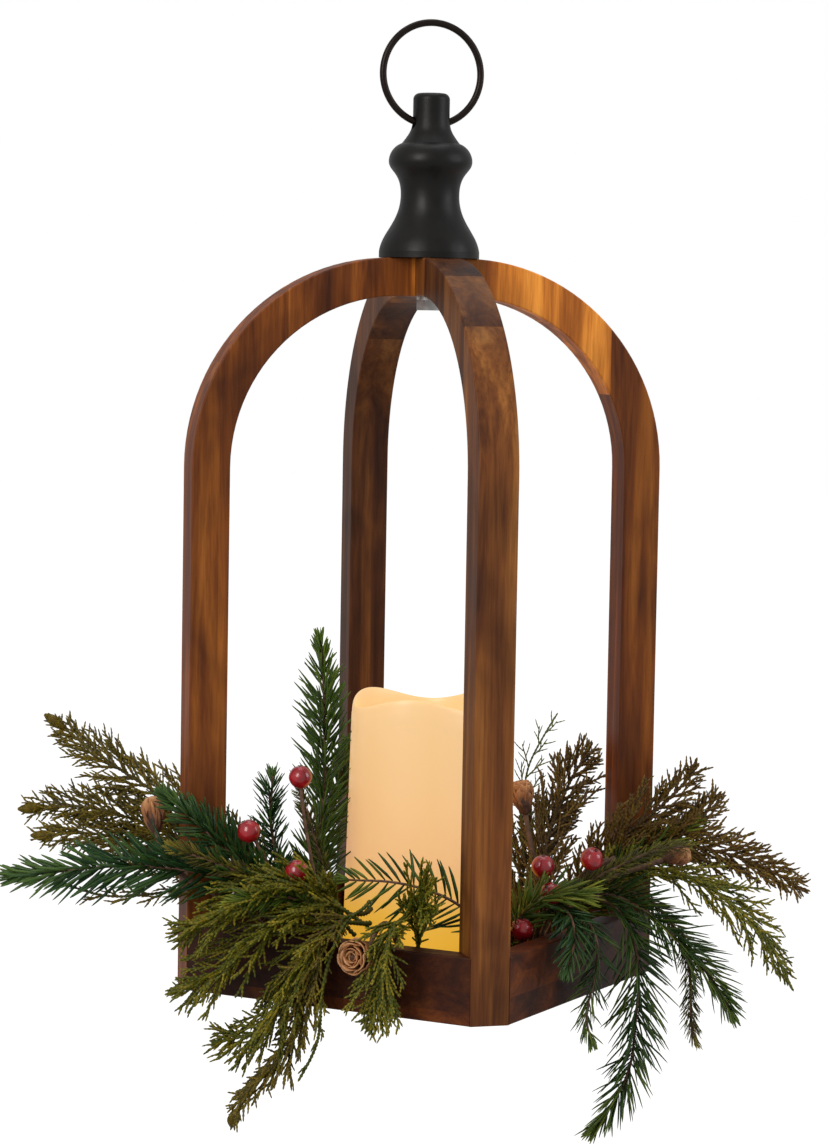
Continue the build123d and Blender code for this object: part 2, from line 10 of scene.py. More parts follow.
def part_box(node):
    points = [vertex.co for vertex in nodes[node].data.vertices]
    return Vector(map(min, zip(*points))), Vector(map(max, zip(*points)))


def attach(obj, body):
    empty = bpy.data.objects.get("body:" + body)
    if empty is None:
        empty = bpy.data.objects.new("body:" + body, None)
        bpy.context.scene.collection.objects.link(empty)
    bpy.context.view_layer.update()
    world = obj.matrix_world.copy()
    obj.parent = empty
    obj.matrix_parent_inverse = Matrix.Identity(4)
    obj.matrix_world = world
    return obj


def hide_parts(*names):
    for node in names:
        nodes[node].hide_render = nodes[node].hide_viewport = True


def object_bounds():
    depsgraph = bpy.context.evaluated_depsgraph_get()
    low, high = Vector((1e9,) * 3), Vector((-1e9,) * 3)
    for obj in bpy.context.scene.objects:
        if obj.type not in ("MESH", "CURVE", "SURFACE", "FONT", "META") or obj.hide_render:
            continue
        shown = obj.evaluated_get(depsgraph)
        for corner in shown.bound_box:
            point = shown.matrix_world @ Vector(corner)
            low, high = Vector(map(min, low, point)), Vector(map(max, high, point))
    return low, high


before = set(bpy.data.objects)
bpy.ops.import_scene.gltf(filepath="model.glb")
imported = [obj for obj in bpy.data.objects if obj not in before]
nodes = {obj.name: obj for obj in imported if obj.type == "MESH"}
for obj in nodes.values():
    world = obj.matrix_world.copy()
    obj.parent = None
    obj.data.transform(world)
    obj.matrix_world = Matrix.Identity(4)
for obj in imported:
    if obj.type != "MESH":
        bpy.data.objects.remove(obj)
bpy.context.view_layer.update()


# --- mesh building ------------------------------------------------------------


class Mesh:
    """Collects many small closed shapes into one mesh, with a tint per vertex."""

    def __init__(self):
        self.verts, self.faces, self.tints, self.kinds, self.count = [], [], [], [], 0

    def add(self, verts, faces, tint=0.5, kind=0):
        verts = np.asarray(verts, float).reshape(-1, 3)
        self.verts.append(verts)
        self.faces += [[i + self.count for i in face] for face in faces]
        self.tints.append(np.broadcast_to(np.asarray(tint, float), (len(verts),)))
        self.kinds += [kind] * len(faces)
        self.count += len(verts)

    def rings(self, rings, tint=0.5, kind=0):
        """Skin through rings of equal size, closed at both ends. rings is (n, k, 3)."""
        rings = np.asarray(rings, float)
        n, k = rings.shape[:2]
        faces = []
        for i in range(n - 1):
            a, b = i * k, (i + 1) * k
            faces += [[a + j, a + (j + 1) % k, b + (j + 1) % k, b + j] for j in range(k)]
        faces.append(list(range(k))[::-1])
        faces.append([(n - 1) * k + j for j in range(k)])
        if np.ndim(tint) == 1:
            tint = np.repeat(tint, k)
        self.add(rings.reshape(-1, 3), faces, tint, kind)

    def object(self, name, materials):
        """Make the mesh a smooth-shaded object; kind picks one of the materials."""
        mesh = bpy.data.meshes.new(name)
        verts = np.concatenate(self.verts)
        mesh.from_pydata(verts.tolist(), [], self.faces)
        for material in materials:
            mesh.materials.append(material)
        mesh.polygons.foreach_set("material_index", np.array(self.kinds, np.int32))
        mesh.polygons.foreach_set("use_smooth", np.ones(len(mesh.polygons), bool))
        tint = mesh.attributes.new("tint", "FLOAT", "POINT")
        tint.data.foreach_set("value", np.concatenate(self.tints).astype(np.float32))
        mesh.update()
        piece = bpy.data.objects.new(name, mesh)
        bpy.context.scene.collection.objects.link(piece)
        return piece


def unit(v):
    v = np.asarray(v, float)
    return v / np.maximum(np.linalg.norm(v, axis=-1, keepdims=True), 1e-12)


def frames(points, hint):
    """Tangent, side and normal along a polyline; side stays near hint."""
    points = np.asarray(points, float)
    tangent = unit(np.gradient(points, axis=0))
    hint = np.broadcast_to(np.asarray(hint, float), points.shape)
    side = unit(hint - (hint * tangent).sum(1, keepdims=True) * tangent)
    return tangent, side, np.cross(tangent, side)


def tube(mesh, points, radius, sides=6, tint=0.5, kind=0, hint=(0.3, 0.5, 0.8), flat=1.0):
    """Closed tube along points; radius may vary; flat squeezes it along its normal."""
    points = np.asarray(points, float)
    _, side, normal = frames(points, hint)
    radius = np.broadcast_to(np.asarray(radius, float), (len(points),))
    turn = np.arange(sides) / sides * 2 * np.pi
    ring = (
        side[:, None, :] * np.cos(turn)[None, :, None]
        + normal[:, None, :] * np.sin(turn)[None, :, None] * flat
    )
    mesh.rings(points[:, None, :] + ring * radius[:, None, None], tint, kind)


def resample(points, step):
    """The same polyline with evenly spaced points, about step apart."""
    points = np.asarray(points, float)
    seg = np.linalg.norm(np.diff(points, axis=0), axis=1)
    along = np.concatenate([[0], np.cumsum(seg)])
    count = max(3, int(round(along[-1] / step)) + 1)
    at = np.linspace(0, along[-1], count)
    return np.stack([np.interp(at, along, points[:, i]) for i in range(3)], 1)


def smooth_line(points, passes=3):
    points = np.array(points, float)
    for _ in range(passes):
        points[1:-1] = (points[:-2] + 2 * points[1:-1] + points[2:]) / 4
    return points


# --- centre lines of the CAD solids ---------------------------------------------


def islands(name):
    """Vertices and triangles of each separate solid of a CAD node."""
    mesh = nodes[name].data
    verts = np.array([v.co for v in mesh.vertices], float)
    mesh.calc_loop_triangles()
    tris = np.array([t.vertices for t in mesh.loop_triangles])
    key = np.round(verts / 1e-6).astype(np.int64)
    _, first, inverse = np.unique(key, axis=0, return_index=True, return_inverse=True)
    inverse = inverse.reshape(-1)
    welded = inverse[tris]
    label = np.arange(len(first))
    while True:
        low = label[welded].min(axis=1)
        new = label.copy()
        for i in range(3):
            np.minimum.at(new, welded[:, i], low)
        new = new[new]
        if (new == label).all():
            break
        label = new
    owner = label[welded[:, 0]]
    return [(verts[first], welded[owner == o]) for o in np.unique(owner)]


def surface_points(verts, tris, rng, spacing=0.0011):
    """Random points spread evenly over a surface, at least 600 of them."""
    a, b, c = (verts[tris[:, i]] for i in range(3))
    area = np.linalg.norm(np.cross(b - a, c - a), axis=1) / 2
    count = int(max(600, area.sum() / spacing**2))
    pick = rng.choice(len(tris), count, p=area / area.sum())
    u, v = rng.random((2, count))
    over = u + v > 1
    u[over], v[over] = 1 - u[over], 1 - v[over]
    return a[pick] + (b - a)[pick] * u[:, None] + (c - a)[pick] * v[:, None]


def spine(verts, tris, near, rng, step=0.004, reach=0.015):
    """Centre line of a slender solid, from its end nearest the point near."""
    cloud = surface_points(verts, tris, rng)
    start = cloud[np.argmin(np.linalg.norm(cloud - near, axis=1))]
    ends = [cloud[np.argmax(np.linalg.norm(cloud - start, axis=1))]]
    ends.append(cloud[np.argmax(np.linalg.norm(cloud - ends[0], axis=1))])
    root, tip = sorted(ends, key=lambda p: np.linalg.norm(p - near))
    close = cloud[np.linalg.norm(cloud - root, axis=1) < 2.2 * step]
    direction = unit(close.mean(0) - root)
    line, widths, here = [root], [], root
    for _ in range(120):
        ahead = (cloud - here) @ direction
        off = cloud - here - ahead[:, None] * direction
        slab = (ahead > 0.25 * step) & (ahead < 1.5 * step) & (np.linalg.norm(off, axis=1) < reach)
        if slab.sum() < 6:
            break
        centre = cloud[slab].mean(0)
        moved = centre - here
        if np.linalg.norm(moved) < 0.3 * step:
            break
        direction = unit(0.5 * direction + 0.5 * unit(moved))
        here = centre
        line.append(here)
        spread = cloud[slab] - centre
        spread -= (spread @ direction)[:, None] * direction
        widths.append(np.linalg.svd(spread, full_matrices=False)[2][0])
    line.append(tip)
    wide = widths[len(widths) // 2]
    line = smooth_line(resample(line, step), 4)
    return line, wide


rng = np.random.default_rng(7)
cores = {}
for side in ("left", "right"):
    low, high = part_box(f"swag_core_{side}")
    cores[side] = np.array((low + high) / 2)


def core_of(name):
    """Middle of the bundle that a pick is wired to."""
    return cores["left" if name in left_picks else "right"]


def lines_of(name):
    """Centre line and broad direction of each solid of a pick."""
    return [spine(verts, tris, core_of(name), rng) for verts, tris in islands(name)]


# --- foliage --------------------------------------------------------------------


def needles(mesh, base, direction, side, length, width, bend, tint, kind=0, thick=0.45):
    """Many flat, pointed needles at once, each a closed blade that curves by bend."""
    base, direction, side = (np.asarray(v, float) for v in (base, direction, side))
    count = len(base)
    direction = unit(direction)
    side = unit(side - (side * direction).sum(1, keepdims=True) * direction)
    normal = np.cross(direction, side)
    length = np.broadcast_to(length, (count,))[:, None]
    width = np.broadcast_to(width, (count,))[:, None]
    bend = np.asarray(bend, float)
    shares = np.array([0.0, 0.3, 0.72, 0.94, 1.0])
    rings = []
    for share, fat in zip(shares, (0.45, 1.0, 0.85, 0.42, 0.06)):
        centre = base + direction * length * share + bend * length * share**2
        across, deep = side * width * fat / 2, normal * width * fat * thick / 2
        rings.append(np.stack([centre + across, centre + deep, centre - across, centre - deep], 1))
    rings = np.stack(rings, 1)  # needle, ring, corner, xyz
    faces = []
    for i in range(4):
        a, b = 4 * i, 4 * i + 4
        faces += [[a + j, a + (j + 1) % 4, b + (j + 1) % 4, b + j] for j in range(4)]
    faces += [[3, 2, 1, 0], [16, 17, 18, 19]]
    shade = np.broadcast_to(tint, (count,))
    shades = (shade[:, None, None] + 0.10 * (shares - 0.5)[None, :, None]) * np.ones((1, 1, 4))
    mesh.verts.append(rings.reshape(-1, 3))
    mesh.tints.append(shades.reshape(-1))
    corners = rings.shape[1] * rings.shape[2]
    for offset in range(mesh.count, mesh.count + count * corners, corners):
        mesh.faces += [[i + offset for i in face] for face in faces]
    mesh.kinds += [kind] * (count * len(faces))
    mesh.count += count * corners


def along(line, at):
    """Points, tangents of a polyline at shares of its length."""
    seg = np.linalg.norm(np.diff(line, axis=0), axis=1)
    far = np.concatenate([[0], np.cumsum(seg)])
    at = np.asarray(at, float) * far[-1]
    point = np.stack([np.interp(at, far, line[:, i]) for i in range(3)], 1)
    tangents = unit(np.gradient(line, axis=0))
    tangent = unit(np.stack([np.interp(at, far, tangents[:, i]) for i in range(3)], 1))
    return point, tangent, far[-1]


bud_needles = 14  # short needles around the tip of a sprig


def needle_sprig(mesh, line, wide, look, rng):
    """Fir, pine or bristle sprig: stem with needles in two rows or all round."""
    _, _, total = along(line, [0])
    stem = resample(line, 0.004)
    taper = np.linspace(look["stem"], 0.55 * look["stem"], len(stem))
    tube(mesh, stem, taper, 6, tint=0.3, kind=1)
    count = int(total / look["pitch"] * look["rows"])
    start, end = look.get("start", 0.1), look.get("end", 1.0)
    at = start + (end - start) * (np.arange(count) + rng.random(count) * 0.8) / count
    at = np.minimum(at, 1.0)
    point, tangent, _ = along(line, at)
    side = unit(np.broadcast_to(wide, point.shape) - (wide * tangent).sum(1, keepdims=True) * tangent)
    normal = np.cross(tangent, side)
    if look["round"]:
        turn = rng.random(count) * 2 * np.pi
    else:
        turn = np.where(np.arange(count) % 2 == 0, 0.0, np.pi)
        turn = turn + rng.normal(0, look["fan"], count)
        top = rng.random(count) < look.get("top", 0.15)
        turn = np.where(top, np.pi / 2 + rng.normal(0, 0.5, count), turn)
    out = side * np.cos(turn)[:, None] + normal * np.sin(turn)[:, None]
    grow = np.clip((at - start) / 0.12, 0.35, 1)
    near_tip = np.clip((1.0 - at) / look.get("tip", 0.3), 0, 1)
    tip_share = look.get("tip_share", 0.45)
    length = look["length"] * grow * (tip_share + (1 - tip_share) * near_tip)
    length *= rng.uniform(0.82, 1.08, count)
    lean = np.radians(look["angle"] * (0.45 + 0.55 * near_tip) + rng.normal(0, 6, count))
    direction = tangent * np.cos(lean)[:, None] + out * np.sin(lean)[:, None]
    direction += rng.normal(0, 0.07, direction.shape)
    sag = np.array([0, 0, -0.03])
    bend = tangent * look.get("sweep", 0.12) + sag + rng.normal(0, 0.05, direction.shape)
    tint = look.get("tint", 0.5) + rng.normal(0, 0.13, count)
    tint += look.get("tip_tint", 0.25) * (1 - near_tip)
    roots = point + out * look["stem"] * 0.6
    blades = np.cross(direction, normal * 0.6 + side * 0.4)
    width = look["width"] * rng.uniform(0.85, 1.1, count)
    needles(mesh, roots, direction, blades, length, width, bend, tint)
    tip, last, _ = along(line, [0.995] * bud_needles)
    ring = np.linspace(0, 2 * np.pi, bud_needles, endpoint=False)
    base_side = unit(np.cross(last, [0.2, 0.3, 0.9]))
    up = np.cross(last, base_side)
    out = base_side * np.cos(ring)[:, None] + up * np.sin(ring)[:, None]
    lean = rng.uniform(0.08, 0.4, bud_needles)
    direction = last * np.cos(lean)[:, None] + out * np.sin(lean)[:, None]
    length = look["length"] * rng.uniform(0.3, 0.5, bud_needles)
    tint = look.get("tint", 0.5) + look.get("tip_tint", 0.25)
    needles(mesh, tip, direction, out, length, look["width"], out * 0.0, tint)


def scaly_twig(mesh, points, radius, tint, rng, scale=0.0021, kind=0):
    """Twig covered in small overlapping scale leaves: the radius saws in and out, with painted shade in the
    narrow waists and painted light on the swells.
    """
    line = resample(points, scale / 2)
    if len(line) % 2 == 0:
        total = np.linalg.norm(np.diff(line, axis=0), axis=1).sum()
        line = resample(points, total / len(line))
    count = len(line)
    saw = np.where(np.arange(count) % 2 == 0, 0.62, 1.0)
    ends = np.minimum(1, (count - 1 - np.arange(count)) / 2 + 0.3)
    base = np.linspace(radius, 0.72 * radius, count)
    # painted shade and light: the narrow waists between scales are tinted darker, the swells lighter
    tone = np.where(np.arange(count) % 2 == 0, -0.16, 0.1) + tint + rng.normal(0, 0.05, count)
    tube(mesh, line, base * saw * ends, 5, tone, kind, hint=unit(rng.normal(0, 1, 3)), flat=0.8)


def cedar_spray(mesh, line, wide, look, rng):
    """Flat, feathery spray: twig, alternate branchlets, and smaller ones on them."""
    total = along(line, [0])[2]
    start = look.get("start", 0.14)
    scaly_twig(mesh, resample(line, 0.004), look["stem"], look["tint"] - 0.1, rng)
    at, sign = start, 1
    while at < 0.97:
        (point,), (tangent,), _ = along(line, [at])
        side = unit(wide - (wide @ tangent) * tangent)
        normal = np.cross(tangent, side)
        swell = max(0.0, (at - start + 0.12) / (1.12 - start)) ** 0.8
        envelope = math.sin(math.pi * min(1.0, swell)) ** 0.7
        reach = max(look["least"], look["reach"] * envelope * rng.uniform(0.75, 1.15))
        reach = min(reach, total * (1.02 - at) + look["least"])
        lean = math.radians(look["angle"] + rng.normal(0, 5))
        out = side * sign + normal * rng.normal(0, look.get("lift", 0.25))
        heading = unit(tangent * math.cos(lean) + out * math.sin(lean))
        branch = curve_from(point, heading, tangent, reach, look.get("curl", 0.5), rng)
        scaly_twig(mesh, branch, look["stem"] * 0.72, look["tint"] + rng.normal(0, 0.07), rng)
        sub_at, sub_sign = 0.22, sign
        while sub_at < 0.93 and reach > 0.007:
            (sub_point,), (sub_tangent,), _ = along(branch, [sub_at])
            sub_side = unit(side - (side @ sub_tangent) * sub_tangent)
            sub_reach = look["sub"] * (1.05 - 0.6 * sub_at) * rng.uniform(0.6, 1.15)
            sub_reach = min(sub_reach, reach * 0.6)
            sub_lean = math.radians(look["angle"] * 0.9 + rng.normal(0, 7))
            sub_out = sub_side * sub_sign + normal * rng.normal(0, 0.35)
            sub_heading = unit(sub_tangent * math.cos(sub_lean) + sub_out * math.sin(sub_lean))
            tip = look["tint"] + look.get("tip_tint", 0.15) + rng.normal(0, 0.08)
            twig = curve_from(sub_point, sub_heading, sub_tangent, sub_reach, 0.35, rng)
            scaly_twig(mesh, twig, look["stem"] * 0.58, tip, rng)
            sub_at += look["sub_pitch"] / reach
            sub_sign = -sub_sign
        at += look["pitch"] / total * rng.uniform(0.85, 1.15)
        sign = -sign
    if look.get("club"):
        point, _, _ = along(line, np.linspace(0.93, 1.0, 7))
        club = np.array([0.9, 1.5, 2.0, 2.2, 2.0, 1.4, 0.5]) * look["stem"]
        tube(mesh, point, club, 7, look["tint"] + 0.3 + 0.1 * np.resize([1, -1], 7))


def curve_from(point, heading, pull, reach, curl, rng):
    """Line of length reach that leaves along heading and turns towards pull."""
    steps = max(3, int(reach / 0.003))
    line, here, way = [point], np.array(point, float), heading
    for _ in range(steps):
        way = unit(way + (pull * curl + rng.normal(0, 0.25, 3)) / steps)
        here = here + way * reach / steps
        line.append(here)
    return np.array(line)


# --- materials ------------------------------------------------------------------


def new_material(name):
    material = bpy.data.materials.new(name)
    material.use_nodes = True
    tree = material.node_tree
    shader = tree.nodes["Principled BSDF"]
    return material, tree, shader


def dial(node, **values):
    """Set sockets of a node; an underscore stands for a space in a socket's name."""
    for key, value in values.items():
        node.inputs[key.replace("_", " ")].default_value = value


def ramp(tree, source, stops):
    node = tree.nodes.new("ShaderNodeValToRGB")
    elements = node.color_ramp.elements
    while len(elements) < len(stops):
        elements.new(0.5)
    for element, (position, colour) in zip(elements, stops):
        element.position = position
        element.color = (*colour, 1)
    tree.links.new(source, node.inputs["Fac"])
    return node.outputs["Color"]


def vary(tree, source, socket, low, high):
    """Drive a socket from low to high, two greys or two colours, by a noise."""
    low, high = ((value,) * 3 if isinstance(value, float) else value for value in (low, high))
    tree.links.new(ramp(tree, source, [(0.3, low), (0.7, high)]), socket)


def dimmed(colour, share):
    return tuple(share * channel for channel in colour)


def mix(tree, factor, a, b, blend="MIX"):
    node = tree.nodes.new("ShaderNodeMix")
    node.data_type = "RGBA"
    node.blend_type = blend
    for socket, value in ((node.inputs[0], factor), (node.inputs[6], a), (node.inputs[7], b)):
        if isinstance(value, (int, float)):
            socket.default_value = value
        elif isinstance(value, tuple):
            socket.default_value = (*value, 1)
        else:
            tree.links.new(value, socket)
    return node.outputs[2]


def math_node(tree, operation, a, b=None, c=None):
    node = tree.nodes.new("ShaderNodeMath")
    node.operation = operation
    for socket, value in zip(node.inputs, (a, b, c)):
        if value is None:
            continue
        if isinstance(value, (int, float)):
            socket.default_value = value
        else:
            tree.links.new(value, socket)
    return node.outputs[0]


def plus(tree, a, b):
    return math_node(tree, "ADD", a, b)


def times(tree, a, b):
    return math_node(tree, "MULTIPLY", a, b)


def tint_of(tree):
    """The tint that each piece of a mesh carries."""
    node = tree.nodes.new("ShaderNodeAttribute")
    node.attribute_name = "tint"
    return node.outputs["Fac"]


def mapped(tree, scale=(1, 1, 1), rotation=(0, 0, 0), location=(0, 0, 0)):
    coords = tree.nodes.new("ShaderNodeTexCoord")
    mapping = tree.nodes.new("ShaderNodeMapping")
    dial(mapping, Scale=scale, Rotation=rotation, Location=location)
    tree.links.new(coords.outputs["Object"], mapping.inputs["Vector"])
    return mapping.outputs["Vector"]


def noise(tree, vector, scale, detail=3.0, roughness=0.55, distortion=0.0):
    node = tree.nodes.new("ShaderNodeTexNoise")
    dial(node, Scale=scale, Detail=detail, Roughness=roughness, Distortion=distortion)
    tree.links.new(vector, node.inputs["Vector"])
    return node.outputs["Fac"]


def bump(tree, shader, height, strength, distance):
    node = tree.nodes.new("ShaderNodeBump")
    dial(node, Strength=strength, Distance=distance)
    tree.links.new(height, node.inputs["Height"])
    tree.links.new(node.outputs["Normal"], shader.inputs["Normal"])


boards_per_metre = 31.0


def torched_pine(name, grain_axis, turn, seed, scorch, stain, painted_side_light):
    """Torched pine boards glued side by side; the grain runs along grain_axis.

    scorch is how sooty the wood is, stain multiplies its colour, and the last
    argument is how strongly its narrow sides are painted lighter and more orange, a painted side light.
    """
    material, tree, shader = new_material(name)
    along_grain, across = (0.06, 1.0)
    scale = {"Z": (across, across, along_grain), "X": (along_grain, across, across)}[grain_axis]
    spin = (0, 0, turn)
    fine = mapped(tree, scale, spin, (seed, seed * 0.7, seed * 0.3))
    # boards: the across-grain place, cut into strips of random tone
    plain = mapped(tree, (1, 1, 1), spin)
    split = tree.nodes.new("ShaderNodeSeparateXYZ")
    tree.links.new(plain, split.inputs[0])
    place = split.outputs["X"] if grain_axis == "Z" else split.outputs["Z"]
    strip = math_node(tree, "FLOOR", times(tree, plus(tree, place, seed * 0.013), boards_per_metre))
    white = tree.nodes.new("ShaderNodeTexWhiteNoise")
    white.noise_dimensions = "1D"
    tree.links.new(strip, white.inputs["W"])
    board = white.outputs["Value"]
    # each board's grain is shifted along its own length
    shift = tree.nodes.new("ShaderNodeCombineXYZ")
    for i in range(3):
        tree.links.new(times(tree, board, 3.1 + i), shift.inputs[i])
    moved = tree.nodes.new("ShaderNodeVectorMath")
    moved.operation = "ADD"
    tree.links.new(fine, moved.inputs[0])
    tree.links.new(shift.outputs[0], moved.inputs[1])
    vector = moved.outputs[0]
    rings = noise(tree, vector, 95.0, 4.0, 0.62, 0.7)
    fibre = noise(tree, vector, 620.0, 3.0, 0.6, 0.2)
    patch = noise(tree, vector, 17.0, 2.0, 0.5, 0.9)
    stretch = (1, 1, 0.55) if grain_axis == "Z" else (0.55, 1, 1)
    burn = noise(tree, mapped(tree, stretch, spin, (seed, 1, 2)), 16.0, 3.0, 0.6, 0.8)
    grain = plus(tree, times(tree, rings, 0.62), times(tree, patch, 0.38))
    wood = ramp(tree, grain, [
        (0.30, (0.042, 0.012, 0.0045)),
        (0.42, (0.130, 0.040, 0.011)),
        (0.50, (0.215, 0.074, 0.019)),
        (0.58, (0.330, 0.130, 0.034)),
        (0.72, (0.480, 0.225, 0.072)),
    ])
    tone = ramp(tree, board, [
        (0.0, (0.42, 0.36, 0.32)),
        (0.5, (0.84, 0.82, 0.80)),
        (1.0, (1.14, 1.11, 1.04)),
    ])
    wood = mix(tree, 1.0, wood, tone, "MULTIPLY")
    wood = mix(tree, 1.0, wood, stain, "MULTIPLY")
    clean = 0.62 if scorch > 0.6 else 0.50 + 0.1 * (1 - scorch)
    soot = ramp(tree, burn, [
        (0.34, (0.30, 0.24, 0.21)),
        (clean, (1.0, 1.0, 1.0)),
        (0.72, (1.16, 1.12, 1.04)),
    ])
    wood = mix(tree, 0.5 + 0.5 * scorch, wood, soot, "MULTIPLY")
    lines = ramp(tree, fibre, [(0.36, (0.70, 0.66, 0.63)), (0.56, (1.06, 1.05, 1.04))])
    wood = mix(tree, 0.7, wood, lines, "MULTIPLY")
    # painted light: the narrow sides, picked by their normal, are painted lighter and more orange, as if
    # lit from the side
    faces = tree.nodes.new("ShaderNodeNewGeometry")
    turned = tree.nodes.new("ShaderNodeMapping")
    turned.inputs["Rotation"].default_value = spin
    tree.links.new(faces.outputs["Normal"], turned.inputs["Vector"])
    facing = tree.nodes.new("ShaderNodeSeparateXYZ")
    tree.links.new(turned.outputs["Vector"], facing.inputs[0])
    broad = math_node(tree, "ABSOLUTE", facing.outputs["Y"])
    side = ramp(tree, broad, [(0.45, (1, 1, 1)), (0.75, (0, 0, 0))])
    orange = mix(tree, 1.0, wood, (1.9, 1.25, 0.85), "MULTIPLY")
    wood = mix(tree, times(tree, side, painted_side_light), wood, orange)
    tree.links.new(wood, shader.inputs["Base Color"])
    vary(tree, fibre, shader.inputs["Roughness"], 0.44, 0.58)
    dial(shader, Specular_IOR_Level=0.22)
    bump(tree, shader, plus(tree, rings, times(tree, fibre, 0.5)), 0.35, 0.0004)
    return material


def satin_black(name, colour, rough, metal=0.0):
    material, tree, shader = new_material(name)
    vector = mapped(tree)
    mottling = noise(tree, vector, 180.0, 4.0)
    vary(tree, mottling, shader.inputs["Base Color"], dimmed(colour, 0.75), colour)
    vary(tree, mottling, shader.inputs["Roughness"], rough - 0.05, rough + 0.06)
    dial(shader, Metallic=metal, Specular_IOR_Level=0.22)
    bump(tree, shader, noise(tree, vector, 900.0, 2.0), 0.12, 0.0001)
    return material


def metal(name, colour, rough):
    material, tree, shader = new_material(name)
    wear = noise(tree, mapped(tree), 260.0, 4.0)
    vary(tree, wear, shader.inputs["Base Color"], dimmed(colour, 0.7), colour)
    vary(tree, wear, shader.inputs["Roughness"], rough - 0.06, rough + 0.1)
    dial(shader, Metallic=1.0)
    bump(tree, shader, wear, 0.08, 0.0001)
    return material


def moulded(name, colour, rough, glow=None):
    material, tree, shader = new_material(name)
    vector = mapped(tree)
    cloud = noise(tree, vector, 60.0, 3.0)
    vary(tree, cloud, shader.inputs["Base Color"], dimmed(colour, 0.86), colour)
    vary(tree, cloud, shader.inputs["Roughness"], rough - 0.04, rough + 0.05)
    if glow:
        dial(shader, Emission_Color=(*glow[0], 1), Emission_Strength=glow[1])
    bump(tree, shader, noise(tree, vector, 1400.0, 2.0), 0.1, 0.00008)
    return material


def foliage(name, dark, mid, light, rough=0.42):
    """Moulded foliage: the tint of each needle or scale picks its green."""
    material, tree, shader = new_material(name)
    vector = mapped(tree)
    cloud = noise(tree, vector, 55.0, 2.0)
    wobble = math_node(tree, "MULTIPLY_ADD", cloud, 0.5, -0.25)
    value = plus(tree, tint_of(tree), wobble)
    colour = ramp(tree, value, [(0.12, dark), (0.5, mid), (0.95, light)])
    tree.links.new(colour, shader.inputs["Base Color"])
    sheen = noise(tree, vector, 900.0, 2.0)
    vary(tree, sheen, shader.inputs["Roughness"], rough - 0.08, rough + 0.1)
    dial(shader, Specular_IOR_Level=0.28, Subsurface_Weight=0.08)
    dial(shader, Subsurface_Radius=(0.4, 0.7, 0.2), Subsurface_Scale=0.002)
    bump(tree, shader, sheen, 0.15, 0.0001)
    return material


def bark(name, dark, light, rough=0.75):
    material, tree, shader = new_material(name)
    grain = noise(tree, mapped(tree), 320.0, 5.0, 0.6, 0.4)
    vary(tree, grain, shader.inputs["Base Color"], dark, light)
    vary(tree, grain, shader.inputs["Roughness"], rough, rough - 0.2)
    bump(tree, shader, grain, 0.5, 0.0005)
    return material


def lit_wax(name):
    """Ivory wax with a painted glow for the lamp in its foot: emission and base colour, brightest low down.
    """
    material, tree, shader = new_material(name)
    low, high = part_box("candle_wax")
    plain = mapped(tree)
    split = tree.nodes.new("ShaderNodeSeparateXYZ")
    tree.links.new(plain, split.inputs[0])
    level = tree.nodes.new("ShaderNodeMapRange")
    tree.links.new(split.outputs["Z"], level.inputs["Value"])
    dial(level, From_Min=low.z, From_Max=high.z)
    cloud = noise(tree, mapped(tree, (1, 1, 0.5)), 22.0, 2.0)
    height = plus(tree, level.outputs["Result"], math_node(tree, "MULTIPLY_ADD", cloud, 0.10, -0.05))
    # painted glow: emission, strongest and most orange at the foot
    glow = ramp(tree, height, [
        (0.02, (1.0, 0.50, 0.020)),
        (0.22, (1.0, 0.52, 0.050)),
        (0.42, (0.90, 0.47, 0.220)),
        (0.66, (0.86, 0.47, 0.210)),
        (0.92, (0.80, 0.46, 0.190)),
    ])
    tree.links.new(glow, shader.inputs["Emission Color"])
    # painted glow too: the base colour is deeper orange low down, paler cream at the top
    wax = ramp(tree, height, [(0.0, (0.40, 0.25, 0.04)), (1.0, (0.50, 0.39, 0.22))])
    tree.links.new(wax, shader.inputs["Base Color"])
    dial(shader, Emission_Strength=0.66, Roughness=0.36, Subsurface_Weight=0.25)
    dial(shader, Subsurface_Radius=(1.0, 0.6, 0.3), Subsurface_Scale=0.006)
    bump(tree, shader, noise(tree, plain, 70.0, 3.0), 0.10, 0.0006)
    return material


def cone_scales(name):
    material, tree, shader = new_material(name)
    streak = noise(tree, mapped(tree), 420.0, 4.0, 0.6, 0.6)
    value = plus(tree, tint_of(tree), math_node(tree, "MULTIPLY_ADD", streak, 0.5, -0.25))
    colour = ramp(tree, value, [
        (0.05, (0.035, 0.012, 0.006)),
        (0.42, (0.19, 0.065, 0.022)),
        (0.75, (0.42, 0.17, 0.055)),
        (1.0, (0.62, 0.34, 0.15)),
    ])
    tree.links.new(colour, shader.inputs["Base Color"])
    vary(tree, streak, shader.inputs["Roughness"], 0.5, 0.7)
    bump(tree, shader, streak, 0.4, 0.0004)
    return material


def berry_skin(name):
    material, tree, shader = new_material(name)
    vector = mapped(tree)
    cloud = noise(tree, vector, 130.0, 3.0, 0.6)
    colour = ramp(tree, cloud, [(0.3, (0.16, 0.002, 0.006)), (0.62, (0.42, 0.006, 0.014))])
    tree.links.new(colour, shader.inputs["Base Color"])
    vary(tree, cloud, shader.inputs["Roughness"], 0.20, 0.32)
    dial(shader, Coat_Weight=0.6, Coat_Roughness=0.12)
    bump(tree, shader, noise(tree, vector, 700.0, 2.0), 0.06, 0.0002)
    return material


def paint(name, material):
    nodes[name].data.materials.clear()
    nodes[name].data.materials.append(material)


